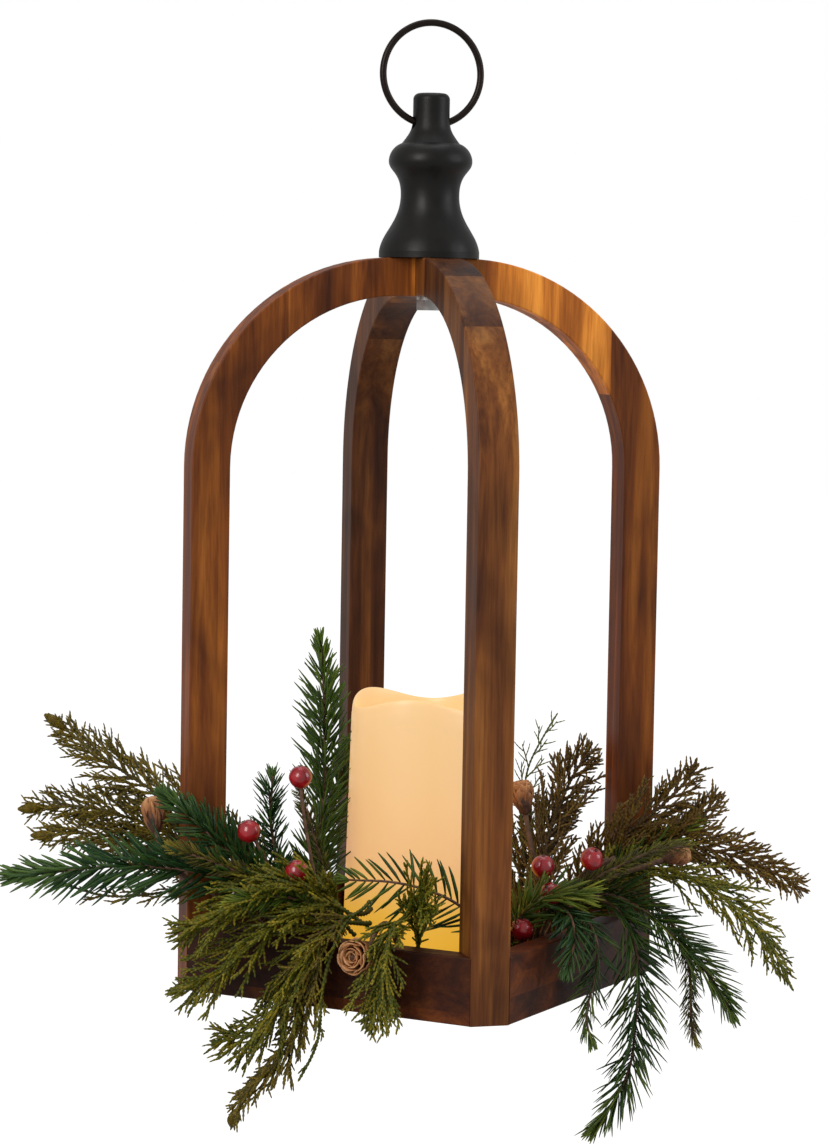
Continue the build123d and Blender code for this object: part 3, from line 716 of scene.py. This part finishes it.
diagonal = math.radians(45)
arch_stain = (1.95, 1.70, 0.86)
sawn_stain = (0.78, 0.74, 0.60)
rail_stain = (0.45, 0.27, 0.08)
# the last number in each call is the painted side light on the narrow faces
paint("arch_left_right", torched_pine("pine_arch_left_right", "Z", 0.0, 3.0, 0.45, arch_stain, 0.15))
paint("arch_front_back", torched_pine("pine_arch_front_back", "Z", 2 * diagonal, 8.0, 0.6, sawn_stain, 0.0))
paint("rail_front_left", torched_pine("pine_rail_front_left", "X", diagonal, 5.0, 0.85, rail_stain, 0.2))
paint("rail_back_right", torched_pine("pine_rail_back_right", "X", diagonal, 9.0, 0.7, rail_stain, 0.2))
paint("rail_front_right", torched_pine("pine_rail_front_right", "X", -diagonal, 2.0, 0.75, rail_stain, 0.2))
paint("rail_back_left", torched_pine("pine_rail_back_left", "X", -diagonal, 6.0, 0.7, rail_stain, 0.2))
paint("tray_floor", torched_pine("tray_plywood", "X", diagonal, 11.0, 0.4, (0.7, 0.6, 0.45), 0.2))
paint("finial", satin_black("satin_black_paint", (0.0075, 0.0068, 0.0062), 0.40))
paint("finial_cap", satin_black("satin_black_cap", (0.0065, 0.0060, 0.0055), 0.42))
paint("hanging_ring", satin_black("black_steel", (0.022, 0.016, 0.013), 0.38, 0.7))
paint("threaded_insert", metal("insert_brass", (0.80, 0.60, 0.26), 0.28))
for name in ("hub_washer", "hub_bolt", "brads", "board_screws"):
    paint(name, metal(f"zinc_{name}", (0.62, 0.61, 0.59), 0.34))
paint("candle_base", moulded("ivory_housing", (0.78, 0.70, 0.55), 0.45))
paint("battery_cover", moulded("ivory_cover", (0.76, 0.68, 0.53), 0.42))
paint("switch_slider", moulded("switch_black", (0.02, 0.02, 0.02), 0.4))
paint("switch_body", moulded("switch_body_grey", (0.05, 0.05, 0.05), 0.5))
paint("coin_cells", metal("cell_steel", (0.78, 0.78, 0.79), 0.16))
paint("battery_contacts", metal("contact_steel", (0.72, 0.70, 0.62), 0.24))
paint("led_board", moulded("circuit_green", (0.02, 0.16, 0.05), 0.35))
paint("led_bulb", moulded("warm_led", (1.0, 0.72, 0.36), 0.1, ((1.0, 0.62, 0.22), 6.0)))

fir_green = foliage(
    "fir_green", (0.0073, 0.0196, 0.0036), (0.0220, 0.0588, 0.0081), (0.1342, 0.1764, 0.0158)
)
fir_blue = foliage(
    "fir_blue_green", (0.0049, 0.0176, 0.0054), (0.0146, 0.0510, 0.0117), (0.0732, 0.1372, 0.0225), 0.34
)
pine_green = foliage(
    "pine_green", (0.0122, 0.0274, 0.0027), (0.0390, 0.0833, 0.0072), (0.1220, 0.1862, 0.0135)
)
leaf_bright = foliage(
    "bright_fir", (0.0146, 0.0353, 0.0036), (0.0610, 0.1078, 0.0090), (0.2440, 0.2548, 0.0225)
)
cedar_olive = foliage(
    "cedar_olive", (0.0244, 0.0176, 0.0018), (0.0854, 0.0647, 0.0049), (0.2440, 0.1666, 0.0126), 0.5
)
cedar_green = foliage(
    "cedar_green", (0.0214, 0.0302, 0.0018), (0.0812, 0.0906, 0.0043), (0.3202, 0.2332, 0.0108), 0.48
)
cedar_brown = foliage(
    "cedar_brown_olive", (0.0268, 0.0127, 0.0018), (0.0878, 0.0441, 0.0049), (0.2074, 0.1274, 0.0135), 0.5
)
juniper_green = foliage(
    "juniper_pale_green", (0.0366, 0.0510, 0.0099), (0.1037, 0.1372, 0.0248), (0.2440, 0.2548, 0.0495), 0.5
)
bristle_olive = foliage(
    "bristle_olive", (0.0195, 0.0137, 0.0018), (0.0586, 0.0549, 0.0054), (0.2074, 0.1568, 0.0158), 0.48
)
twig_brown = bark("twig_bark", (0.035, 0.014, 0.006), (0.16, 0.075, 0.035))
stem_green = bark("stem_green", (0.030, 0.030, 0.010), (0.09, 0.07, 0.025), 0.6)
tape_brown = bark("floral_tape", (0.030, 0.018, 0.008), (0.095, 0.055, 0.025), 0.8)

# --- sprigs ----------------------------------------------------------------------

fir = {"rows": 2.6, "pitch": 0.0021, "length": 0.0200, "width": 0.0016, "angle": 52, "round": False,
       "fan": 0.34, "stem": 0.0010, "top": 0.28, "tip": 0.35}
bristle = {"rows": 3, "pitch": 0.00075, "length": 0.0052, "width": 0.0007, "angle": 44, "round": True,
           "fan": 0, "stem": 0.0011, "tip": 0.12, "tip_share": 0.6, "tip_tint": 0.3}
cedar = {"stem": 0.00125, "pitch": 0.0037, "reach": 0.030, "least": 0.006, "angle": 34, "sub": 0.0105,
         "sub_pitch": 0.0027, "tint": 0.5, "lift": 0.3}

looks = {
    "cedar_spray_left": (
        "cedar", cedar | {"reach": 0.030, "club": True, "layers": 2}, cedar_olive, "cedar_olive"
    ),
    "fir_sprig_left": (
        "needle", fir | {"length": 0.0235, "rows": 3.0, "tip_tint": 0.35}, fir_blue, "fir_green"
    ),
    "cedar_curl_left": ("cedar", cedar | {"reach": 0.016, "pitch": 0.007}, cedar_olive, "cedar_olive"),
    "fir_sprig_post": ("needle", fir | {"length": 0.0185, "rows": 4, "fan": 0.6}, fir_blue, "fir_green"),
    "brush_sprig_rail": (
        "needle", bristle | {"length": 0.0075, "width": 0.0009}, bristle_olive, "spruce_brush"
    ),
    "spruce_tip_rail": (
        "needle",
        bristle | {
            "length": 0.0085, "width": 0.0010,
            "tip_tint": 0.5,
        },
        leaf_bright,
        "spruce_brush",
    ),
    "brush_sprig_upright": (
        "needle",
        bristle | {
            "length": 0.0110, "pitch": 0.0010,
            "angle": 48, "width": 0.0010,
        },
        fir_blue,
        "spruce_brush",
    ),
    "brush_sprig_tall": ("needle", bristle | {"length": 0.0050}, bristle_olive, "spruce_brush"),
    "pine_sprigs_candle": (
        "needle",
        fir | {
            "round": True, "rows": 5.0, "length": 0.0190, "width": 0.0013,
            "angle": 46, "tip": 0.22, "tip_share": 0.35,
        },
        pine_green,
        "fir_green",
    ),
    "cedar_sprays_rail": (
        "cedar",
        cedar | {
            "reach": 0.034, "pitch": 0.0030,
            "layers": 2, "stem": 0.0014,
        },
        cedar_green,
        "cedar_olive",
    ),
    "cedar_hanging_left": (
        "cedar",
        cedar | {
            "reach": 0.024, "club": True,
            "stem": 0.0014, "layers": 2,
        },
        cedar_olive,
        "cedar_olive",
    ),
    "cedar_hanging_thin": (
        "cedar", cedar | {"reach": 0.011, "pitch": 0.008}, cedar_green, "cedar_olive"
    ),
    "cedar_sprays_cone": (
        "cedar",
        cedar | {
            "reach": 0.026, "pitch": 0.0030,
            "layers": 2, "stem": 0.0014,
        },
        cedar_green,
        "cedar_olive",
    ),
    "fir_sprig_candle": (
        "needle",
        fir | {
            "length": 0.0195, "rows": 1.4, "pitch": 0.0028, "width": 0.0016,
            "angle": 62, "fan": 0.15, "top": 0.05,
        },
        fir_green,
        "fir_green",
    ),
    "cedar_sprays_back": (
        "cedar",
        cedar | {
            "reach": 0.030, "pitch": 0.0036,
            "layers": 2, "stem": 0.0014,
        },
        cedar_brown,
        "cedar_olive",
    ),
    "juniper_sprig": (
        "cedar", cedar | {"reach": 0.020, "stem": 0.0008, "pitch": 0.006}, juniper_green, "juniper_green"
    ),
    "fir_tip_front": (
        "needle",
        fir | {
            "length": 0.0160, "rows": 5,
            "fan": 1.2, "tip_share": 0.8,
        },
        leaf_bright,
        "fir_green",
    ),
    "fir_sprig_right": (
        "needle", fir | {"length": 0.0165, "rows": 5, "fan": 0.9}, leaf_bright, "fir_green"
    ),
    "cedar_sprays_right": (
        "cedar", cedar | {"reach": 0.026, "stem": 0.0014, "layers": 2}, cedar_brown, "cedar_olive"
    ),
    "cedar_drooping_right": ("cedar", cedar | {"reach": 0.026, "layers": 2}, cedar_green, "cedar_olive"),
    "fir_hanging_long": (
        "needle", fir | {"length": 0.0225, "rows": 4.0, "width": 0.0020}, fir_green, "fir_green"
    ),
    "fir_hanging_side": (
        "needle", fir | {"length": 0.0210, "rows": 4.2, "width": 0.0019}, fir_green, "fir_green"
    ),
    "fir_hanging_small": ("needle", fir | {"length": 0.0150, "rows": 3}, fir_green, "fir_green"),
    "fir_over_rail": (
        "needle", fir | {"length": 0.0150, "rows": 3, "width": 0.0022, "fan": 0.7}, fir_blue, "fir_green"
    ),
    "brush_hanging_right": ("needle", bristle | {"length": 0.0075}, bristle_olive, "spruce_brush"),
    "brush_curved_right": ("needle", bristle | {"length": 0.0060}, bristle_olive, "spruce_brush"),
}
left_picks = (
    "cedar_spray_left", "fir_sprig_left", "cedar_curl_left", "fir_sprig_post", "brush_sprig_rail",
    "spruce_tip_rail", "brush_sprig_upright", "brush_sprig_tall", "pine_sprigs_candle",
    "cedar_sprays_rail", "cedar_hanging_left", "cedar_hanging_thin", "cedar_sprays_cone",
    "berries_left", "cone_front", "cone_left",
)
for name, (kind, look, material, slot) in looks.items():
    mesh = Mesh()
    for line, wide in lines_of(name):
        if kind == "cedar":
            for layer in range(look.get("layers", 1)):
                (tangent,) = along(line, [0.5])[1]
                lean = 0.7 * layer
                leaning = wide * math.cos(lean) + np.cross(tangent, wide) * math.sin(lean)
                cedar_spray(mesh, line, leaning, look, rng)
        else:
            needle_sprig(mesh, line, wide, look, rng)
    piece = mesh.object(f"{name}_foliage", [material, twig_brown])
    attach(piece, "lantern")
    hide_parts(name)

# --- berries, cones, twig, cores ------------------------------------------------

berry_red = berry_skin("berry_red")
cone_brown = cone_scales("cone_scale_brown")


def berry(mesh, centre, way, radius):
    """Round berry with a shallow dimple and a small dark star at its far end."""
    way = unit(way)
    side = unit(np.cross(way, [0.3, 0.2, 0.9]))
    up = np.cross(way, side)
    turn = np.arange(24) / 24 * 2 * np.pi
    rings = []
    for share in np.linspace(0.02, 0.985, 17):
        angle = np.pi * share
        rise = -math.cos(angle) * (1 - 0.10 * max(0.0, (share - 0.86) / 0.12))
        wide = math.sin(angle) * (1 + 0.015 * math.sin(5 * angle))
        ring = side * np.cos(turn)[:, None] + up * np.sin(turn)[:, None]
        rings.append(centre + way * rise * radius + ring * wide * radius)
    mesh.rings(rings, 0.5, 0)
    top = centre + way * radius * 0.93
    for k in range(5):
        out = side * math.cos(k * 1.257) + up * math.sin(k * 1.257)
        leaf, flat = [out * 0.9 + way * 0.35], [np.cross(way, out)]
        needles(mesh, [top], leaf, flat, 0.0013, 0.0008, [[0, 0, 0]], 0.2, 1)


for name in ("berries_left", "berries_right"):
    mesh = Mesh()
    near = core_of(name)
    for verts, tris in islands(name):
        cloud = surface_points(verts, tris, rng)
        far = cloud[np.argmax(np.linalg.norm(cloud - near, axis=1))]
        ball = cloud[np.linalg.norm(cloud - far, axis=1) < 0.0105]
        fit = np.c_[2 * ball, np.ones(len(ball))]
        solved = np.linalg.lstsq(fit, (ball**2).sum(1), rcond=None)[0]
        centre = solved[:3]
        radius = math.sqrt(max(solved[3] + centre @ centre, 1e-9))
        line, _ = spine(verts, tris, near, rng)
        line = line[np.linalg.norm(line - centre, axis=1) > 0.9 * radius]
        line = smooth_line(np.vstack([line, centre - unit(centre - line[-1]) * radius * 0.8]), 2)
        tube(mesh, resample(line, 0.003), 0.0008, 6, 0.5, 1)
        berry(mesh, centre, centre - line[-4], radius)
    piece = mesh.object(f"{name}_glossy", [berry_red, twig_brown])
    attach(piece, "lantern")
    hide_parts(name)


def cone_scale(mesh, base, out, way, size, lift, tint, rng):
    """One spoon-shaped scale: a thick curved plate with a rounded, ragged rim."""
    across = unit(np.cross(way, out))
    rows, cols = 6, 7
    top, bottom = [], []
    for i in range(rows):
        v = i / (rows - 1)
        spoon = 0.35 + 0.75 * math.sin(min(1.0, v * 0.62 + 0.12) * math.pi * 0.72)
        width = size * spoon * (1 - 0.42 * max(0, v - 0.72) / 0.28)
        for j in range(cols):
            u = j / (cols - 1) * 2 - 1
            forward = size * 1.15 * v * (1 - 0.18 * u * u * v)
            curl = size * (0.30 * v * v * lift)
            cup = size * 0.16 * u * u
            point = base + (out * math.cos(0.55) + way * math.sin(0.55)) * forward * 0.8
            point = point + way * (cup + size * 0.25 * v) + out * curl + across * u * width * 0.5
            ragged = 1 + (0.05 * rng.normal() if i == rows - 1 else 0)
            thick = size * (0.11 - 0.05 * v)
            top.append(point + way * thick * 0.5 * ragged)
            bottom.append(point - way * thick * 0.5)
    n = rows * cols
    faces = []
    for i in range(rows - 1):
        for j in range(cols - 1):
            a, b, c, d = i * cols + j, i * cols + j + 1, (i + 1) * cols + j + 1, (i + 1) * cols + j
            faces.append([a, b, c, d])
            faces.append([n + d, n + c, n + b, n + a])
    border = [j for j in range(cols)] + [(i + 1) * cols - 1 for i in range(1, rows)]
    border += [n - 1 - j for j in range(1, cols)] + [i * cols for i in range(rows - 2, 0, -1)]
    for k, a in enumerate(border):
        b = border[(k + 1) % len(border)]
        faces.append([b, a, n + a, n + b])
    shade = np.array([tint - 0.32 + 0.42 * (i // cols) / (rows - 1) for i in range(n)] * 2)
    shade[:n][(np.arange(n) // cols) == rows - 1] += 0.22
    mesh.add(np.array(top + bottom), faces, shade, 0)


def flat_base(verts, tris):
    """Centre of the flat end of a cone's body, and the way its tip points."""
    a, b, c = verts[tris[:, 0]], verts[tris[:, 1]], verts[tris[:, 2]]
    normal = np.cross(b - a, c - a)
    area = np.linalg.norm(normal, axis=1) / 2
    normal = normal / np.maximum(2 * area, 1e-12)[:, None]
    middle = (a + b + c) / 3
    level = (normal * middle).sum(1)
    best, chosen = 0.0, None
    for i in np.argsort(-area)[:200]:
        same = (normal @ normal[i] > 0.9999) & (np.abs(level - level[i]) < 1e-5)
        if area[same].sum() > best:
            best, chosen = area[same].sum(), same
    weight = area[chosen] / area[chosen].sum()
    base, way = weight @ middle[chosen], unit(weight @ normal[chosen])
    ahead = (verts - base) @ way
    off = np.linalg.norm(verts - base - np.outer(ahead, way), axis=1)
    swollen = (off > 0.004) & (off < 0.013) & (np.abs(ahead) < 0.02)
    return base, way * (1.0 if ahead[swollen].sum() > 0 else -1.0)


cone_scale_count = 34
golden_angle = 2.39996  # from one scale to the next, radians


def cone(name, open_angle, tint):
    """A cone's scales in a spiral around its CAD body, on the body's own wire."""
    mesh = Mesh()
    verts, tris = islands(name)[0]
    base, way = flat_base(verts, tris)
    ahead = (verts - base) @ way
    off = np.linalg.norm(verts - base - np.outer(ahead, way), axis=1)
    body = (ahead > 0.0005) & (off < 0.014) & (ahead < 0.022)
    length, radius = ahead[body].max(), off[body].max()
    tip = base + way * length
    line, _ = spine(verts, tris, core_of(name), rng, reach=0.02)
    wire = [line[0]]
    for point in line[1:]:
        if (point - base) @ way > -0.001 and np.linalg.norm(point - base) < 0.03:
            break
        wire.append(point)
    wire = smooth_line(np.array([*wire, base + way * 0.002]), 1)
    tube(mesh, resample(wire, 0.003), 0.0013, 7, 0.35, 1)
    core = resample(np.array([base, tip]), 0.001)
    swell = np.sin(np.linspace(0.35, math.pi - 0.12, len(core))) * radius * 0.5
    tube(mesh, core, np.maximum(swell, 0.0008), 10, 0.1, 0)
    side = unit(np.cross(way, [0.31, 0.22, 0.93]))
    up = np.cross(way, side)
    for k in range(cone_scale_count):
        share = (k + 0.5) / cone_scale_count
        turn = k * golden_angle
        out = side * math.cos(turn) + up * math.sin(turn)
        reach = radius * (0.62 + 0.38 * math.sin(math.pi * min(1, share * 1.25 + 0.1)))
        reach *= 1 - 0.55 * share**2
        size = reach * (1.50 - 0.55 * share)
        start = base + way * length * (0.02 + 0.80 * share) + out * reach * 0.12
        opening = open_angle * (1 - share) ** 1.2
        lead = unit(out * math.cos(0.95 - opening) + way * math.sin(0.95 - opening))
        normal = unit(way - (way @ lead) * lead)
        cone_scale(mesh, start, lead, normal, size, 0.25, tint + rng.normal(0, 0.07), rng)
    piece = mesh.object(f"{name}_scales", [cone_brown, twig_brown])
    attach(piece, "lantern")
    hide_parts(name)


cone("cone_front", 0.75, 0.62)
cone("cone_left", 0.35, 0.72)
cone("cone_right", 0.5, 0.55)
cone("cone_back", 0.5, 0.6)

mesh = Mesh()
for line, _ in lines_of("berry_twig"):
    fine = resample(line, 0.0025)
    wobble = 1 + 0.16 * rng.normal(size=len(fine))
    tube(mesh, fine, 0.0013 * wobble, 8, 0.5, 0)
    for share, lean in ((0.62, 0.9), (0.8, -0.8)):
        (point,), (tangent,), _ = along(line, [share])
        heading = unit(tangent + lean * unit(np.cross(tangent, [0.2, 0.1, 1])))
        twig = curve_from(point, heading, tangent, 0.012, 0.4, rng)
        tube(mesh, twig, np.linspace(0.0009, 0.0005, len(twig)), 6, 0.5, 0)
twig_piece = mesh.object("berry_twig_bark", [twig_brown])
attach(twig_piece, "lantern")
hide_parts("berry_twig")

for side in ("left", "right"):
    name = f"swag_core_{side}"
    verts, tris = islands(name)[0]
    centred = verts - verts.mean(0)
    axis = np.linalg.svd(centred, full_matrices=False)[2][0]
    half = np.abs(centred @ axis).max()
    across = unit(np.cross(axis, [0, 0, 1]))
    up = np.cross(across, axis)
    middle = verts.mean(0)
    mesh = Mesh()
    for k in range(19):
        layer = 0 if k == 0 else (1 if k < 7 else 2)
        ring, turn = layer * 0.0036, k * (0.0, 1.047, 0.5236)[layer]
        span = np.linspace(-half * rng.uniform(0.86, 0.99), half * rng.uniform(0.86, 0.99), 24)
        twist = turn + span * 16.0
        squeeze = 0.80 + 0.2 * np.abs(span / half)
        points = middle + np.outer(span, axis)
        points = points + np.outer(np.cos(twist) * ring * squeeze, across)
        points = points + np.outer(np.sin(twist) * ring * squeeze, up)
        tube(mesh, points, 0.00165, 6, 0.5, int(k % 3 == 0))
    turns = 15
    angle = np.linspace(0, turns * 2 * np.pi, turns * 20)
    span = np.linspace(-0.42 * half, 0.42 * half, len(angle))
    coil = np.outer(np.cos(angle), across) + np.outer(np.sin(angle), up)
    wrap = middle + np.outer(span, axis) + 0.0083 * coil
    tube(mesh, wrap, 0.0013, 6, 0.5, 0, hint=axis, flat=0.5)
    piece = mesh.object(f"{name}_bundle", [tape_brown, stem_green])
    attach(piece, "lantern")
    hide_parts(name)

# --- candle -----------------------------------------------------------------------

low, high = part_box("candle_wax")
verts = np.array([v.co for v in nodes["candle_wax"].data.vertices], float)
centre = np.array([(low.x + high.x) / 2, (low.y + high.y) / 2])
flat = np.hypot(verts[:, 0] - centre[0], verts[:, 1] - centre[1])
foot = flat[verts[:, 2] < low.z + 0.001].max()
bore = flat[verts[:, 2] < low.z + 0.001].min()
rim = verts[(flat > 0.9 * foot) & (verts[:, 2] > low.z + 0.6 * (high.z - low.z))]
well = verts[(flat < 0.87 * foot) & (verts[:, 2] > low.z + 0.5 * (high.z - low.z))]
well_radius = np.hypot(well[:, 0] - centre[0], well[:, 1] - centre[1]).max()
well_floor = well[:, 2].min()
turns = np.arctan2(rim[:, 1] - centre[1], rim[:, 0] - centre[0])
bins = np.floor((turns + math.pi) / (2 * math.pi) * 36).astype(int)
crest = [np.where(bins == k)[0][rim[bins == k, 2].argmax()] for k in np.unique(bins)]
rim, turns = rim[crest], turns[crest]
basis = np.c_[np.ones(len(turns)), np.cos(3 * turns), np.sin(3 * turns)]
mean, wave_cos, wave_sin = np.linalg.lstsq(basis, rim[:, 2], rcond=None)[0]
rim_radius = np.hypot(rim[:, 0] - centre[0], rim[:, 1] - centre[1]).min()
draft = (foot - rim_radius) / (mean - low.z)

lip_height = 0.006
segments = 144
turn = np.arange(segments) / segments * 2 * np.pi
wave = wave_cos * np.cos(3 * turn) + wave_sin * np.sin(3 * turn)
ring_way = np.c_[np.cos(turn), np.sin(turn)]
profile = []
for share in np.linspace(0.0, 1.0, 30):
    rise = share * (mean - low.z - lip_height)
    profile.append((foot - draft * rise, low.z + rise, share**3))
lip_out = foot - draft * (mean - low.z)
lip_width = lip_out - well_radius
for angle in np.linspace(0.15, math.pi - 0.1, 12):
    reach = well_radius + (1 + math.cos(angle)) * lip_width / 2
    profile.append((reach, mean - lip_height * (1 - math.sin(angle)), 1.0))
for share in np.linspace(0.05, 1.0, 12):
    depth = share * (mean - lip_height - well_floor - 0.004)
    profile.append((well_radius - 0.0012 * share, mean - lip_height - depth, 1.0 - share))
for share in np.linspace(0.15, 0.98, 8):
    profile.append((well_radius * (1 - share), well_floor + 0.004 * (1 - share) ** 3, 0.0))
rings = []
for radius, height, follow in profile:
    points = centre + ring_way * radius
    rings.append(np.c_[points, height + wave * follow])
rings = np.array(rings)
mesh = Mesh()
count = len(rings)
faces = []
for i in range(count - 1):
    a, b = i * segments, (i + 1) * segments
    faces += [[a + j, a + (j + 1) % segments, b + (j + 1) % segments, b + j] for j in range(segments)]
faces.append([(count - 1) * segments + j for j in range(segments)])
inner = [np.c_[centre + ring_way * bore, np.full(segments, z)] for z in (low.z, well_floor - 0.004)]
start = count * segments
after = [(j + 1) % segments for j in range(segments)]
faces += [[j, start + j, start + k, k] for j, k in enumerate(after)]
faces += [[start + j, start + segments + j, start + segments + k, start + k] for j, k in enumerate(after)]
faces.append([start + segments + j for j in range(segments)][::-1])
mesh.add(np.concatenate([rings.reshape(-1, 3), *inner]), faces)
wax_piece = mesh.object("candle_wax_melted", [lit_wax("lit_ivory_wax")])
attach(wax_piece, "candle")
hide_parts("candle_wax")

# --- stage, light and camera --------------------------------------------------------

stage_radius = 14.0
floor_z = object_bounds()[0].z - 0.45  # the lantern hangs well clear of the floor
bpy.ops.mesh.primitive_circle_add(
    vertices=96, radius=stage_radius, fill_type="NGON", location=(0, 0, floor_z)
)
floor = bpy.context.object
floor.name = "pale_floor"
material, tree, shader = new_material("pale_floor")
dial(shader, Base_Color=(0.42, 0.42, 0.42, 1), Roughness=0.9, Specular_IOR_Level=0.0)
dial(shader, Emission_Color=(1, 1, 1, 1), Emission_Strength=0.84)
floor.data.materials.append(material)
floor.visible_diffuse = floor.visible_glossy = False

# a white surround that only the camera sees, so it adds no light of its own
bpy.ops.mesh.primitive_uv_sphere_add(
    segments=48, ring_count=24, radius=stage_radius + 0.5, location=(0, 0, 0)
)
dome = bpy.context.object
dome.name = "white_surround"
material, tree, shader = new_material("white_surround")
dial(shader, Base_Color=(0, 0, 0, 1), Specular_IOR_Level=0.0, Emission_Color=(1, 1, 1, 1))
dial(shader, Emission_Strength=1.0)
dome.data.materials.append(material)
for ray in ("visible_diffuse", "visible_glossy", "visible_transmission", "visible_shadow"):
    setattr(dome, ray, False)

world = bpy.data.worlds.new("studio")
bpy.context.scene.world = world
world.use_nodes = True
world.node_tree.nodes["Background"].inputs["Color"].default_value = (1.0, 1.0, 1.0, 1)
world.node_tree.nodes["Background"].inputs["Strength"].default_value = 0.52


def softbox(name, place, target, size, power, colour):
    """A rectangular area light at place that faces target."""
    light = bpy.data.lights.new(name, "AREA")
    light.shape = "RECTANGLE"
    light.size, light.size_y = size
    light.energy = power
    light.color = colour
    lamp = bpy.data.objects.new(name, light)
    bpy.context.scene.collection.objects.link(lamp)
    lamp.location = place
    lamp.rotation_euler = (Vector(target) - Vector(place)).to_track_quat("-Z", "Y").to_euler()


softbox("key_left", (-1.3, -1.1, 0.55), (0, 0, -0.25), (0.7, 1.1), 17.0, (1.0, 0.97, 0.93))
softbox("fill_right", (1.5, -0.9, 0.35), (0, 0, -0.28), (0.9, 1.1), 9.0, (0.95, 0.98, 1.0))
softbox("top_soft", (0.1, 0.3, 1.5), (0, 0, -0.25), (1.2, 1.2), 8.0, (1, 1, 1))

camera = bpy.data.cameras.new("camera")
camera.sensor_fit = "AUTO"
camera.sensor_width = 36.0
camera.lens = 108.18
camera.clip_start, camera.clip_end = 0.05, 60.0
view = bpy.data.objects.new("camera", camera)
bpy.context.scene.collection.objects.link(view)
yaw, pitch, roll = math.radians(16.4706), math.radians(-4.4469), math.radians(0.9749)
ahead = Vector((math.sin(yaw) * math.cos(pitch), math.cos(yaw) * math.cos(pitch), math.sin(pitch)))
level = Vector((math.cos(yaw), -math.sin(yaw), 0))
above = level.cross(ahead)
right = level * math.cos(roll) + above * math.sin(roll)
up = -level * math.sin(roll) + above * math.cos(roll)
turned = Matrix((right, up, -ahead)).transposed()
view.matrix_world = Matrix.Translation((-0.47232, -1.58139, -0.1322)) @ turned.to_4x4()
bpy.context.scene.camera = view
bpy.context.scene.view_settings.view_transform = "Standard"
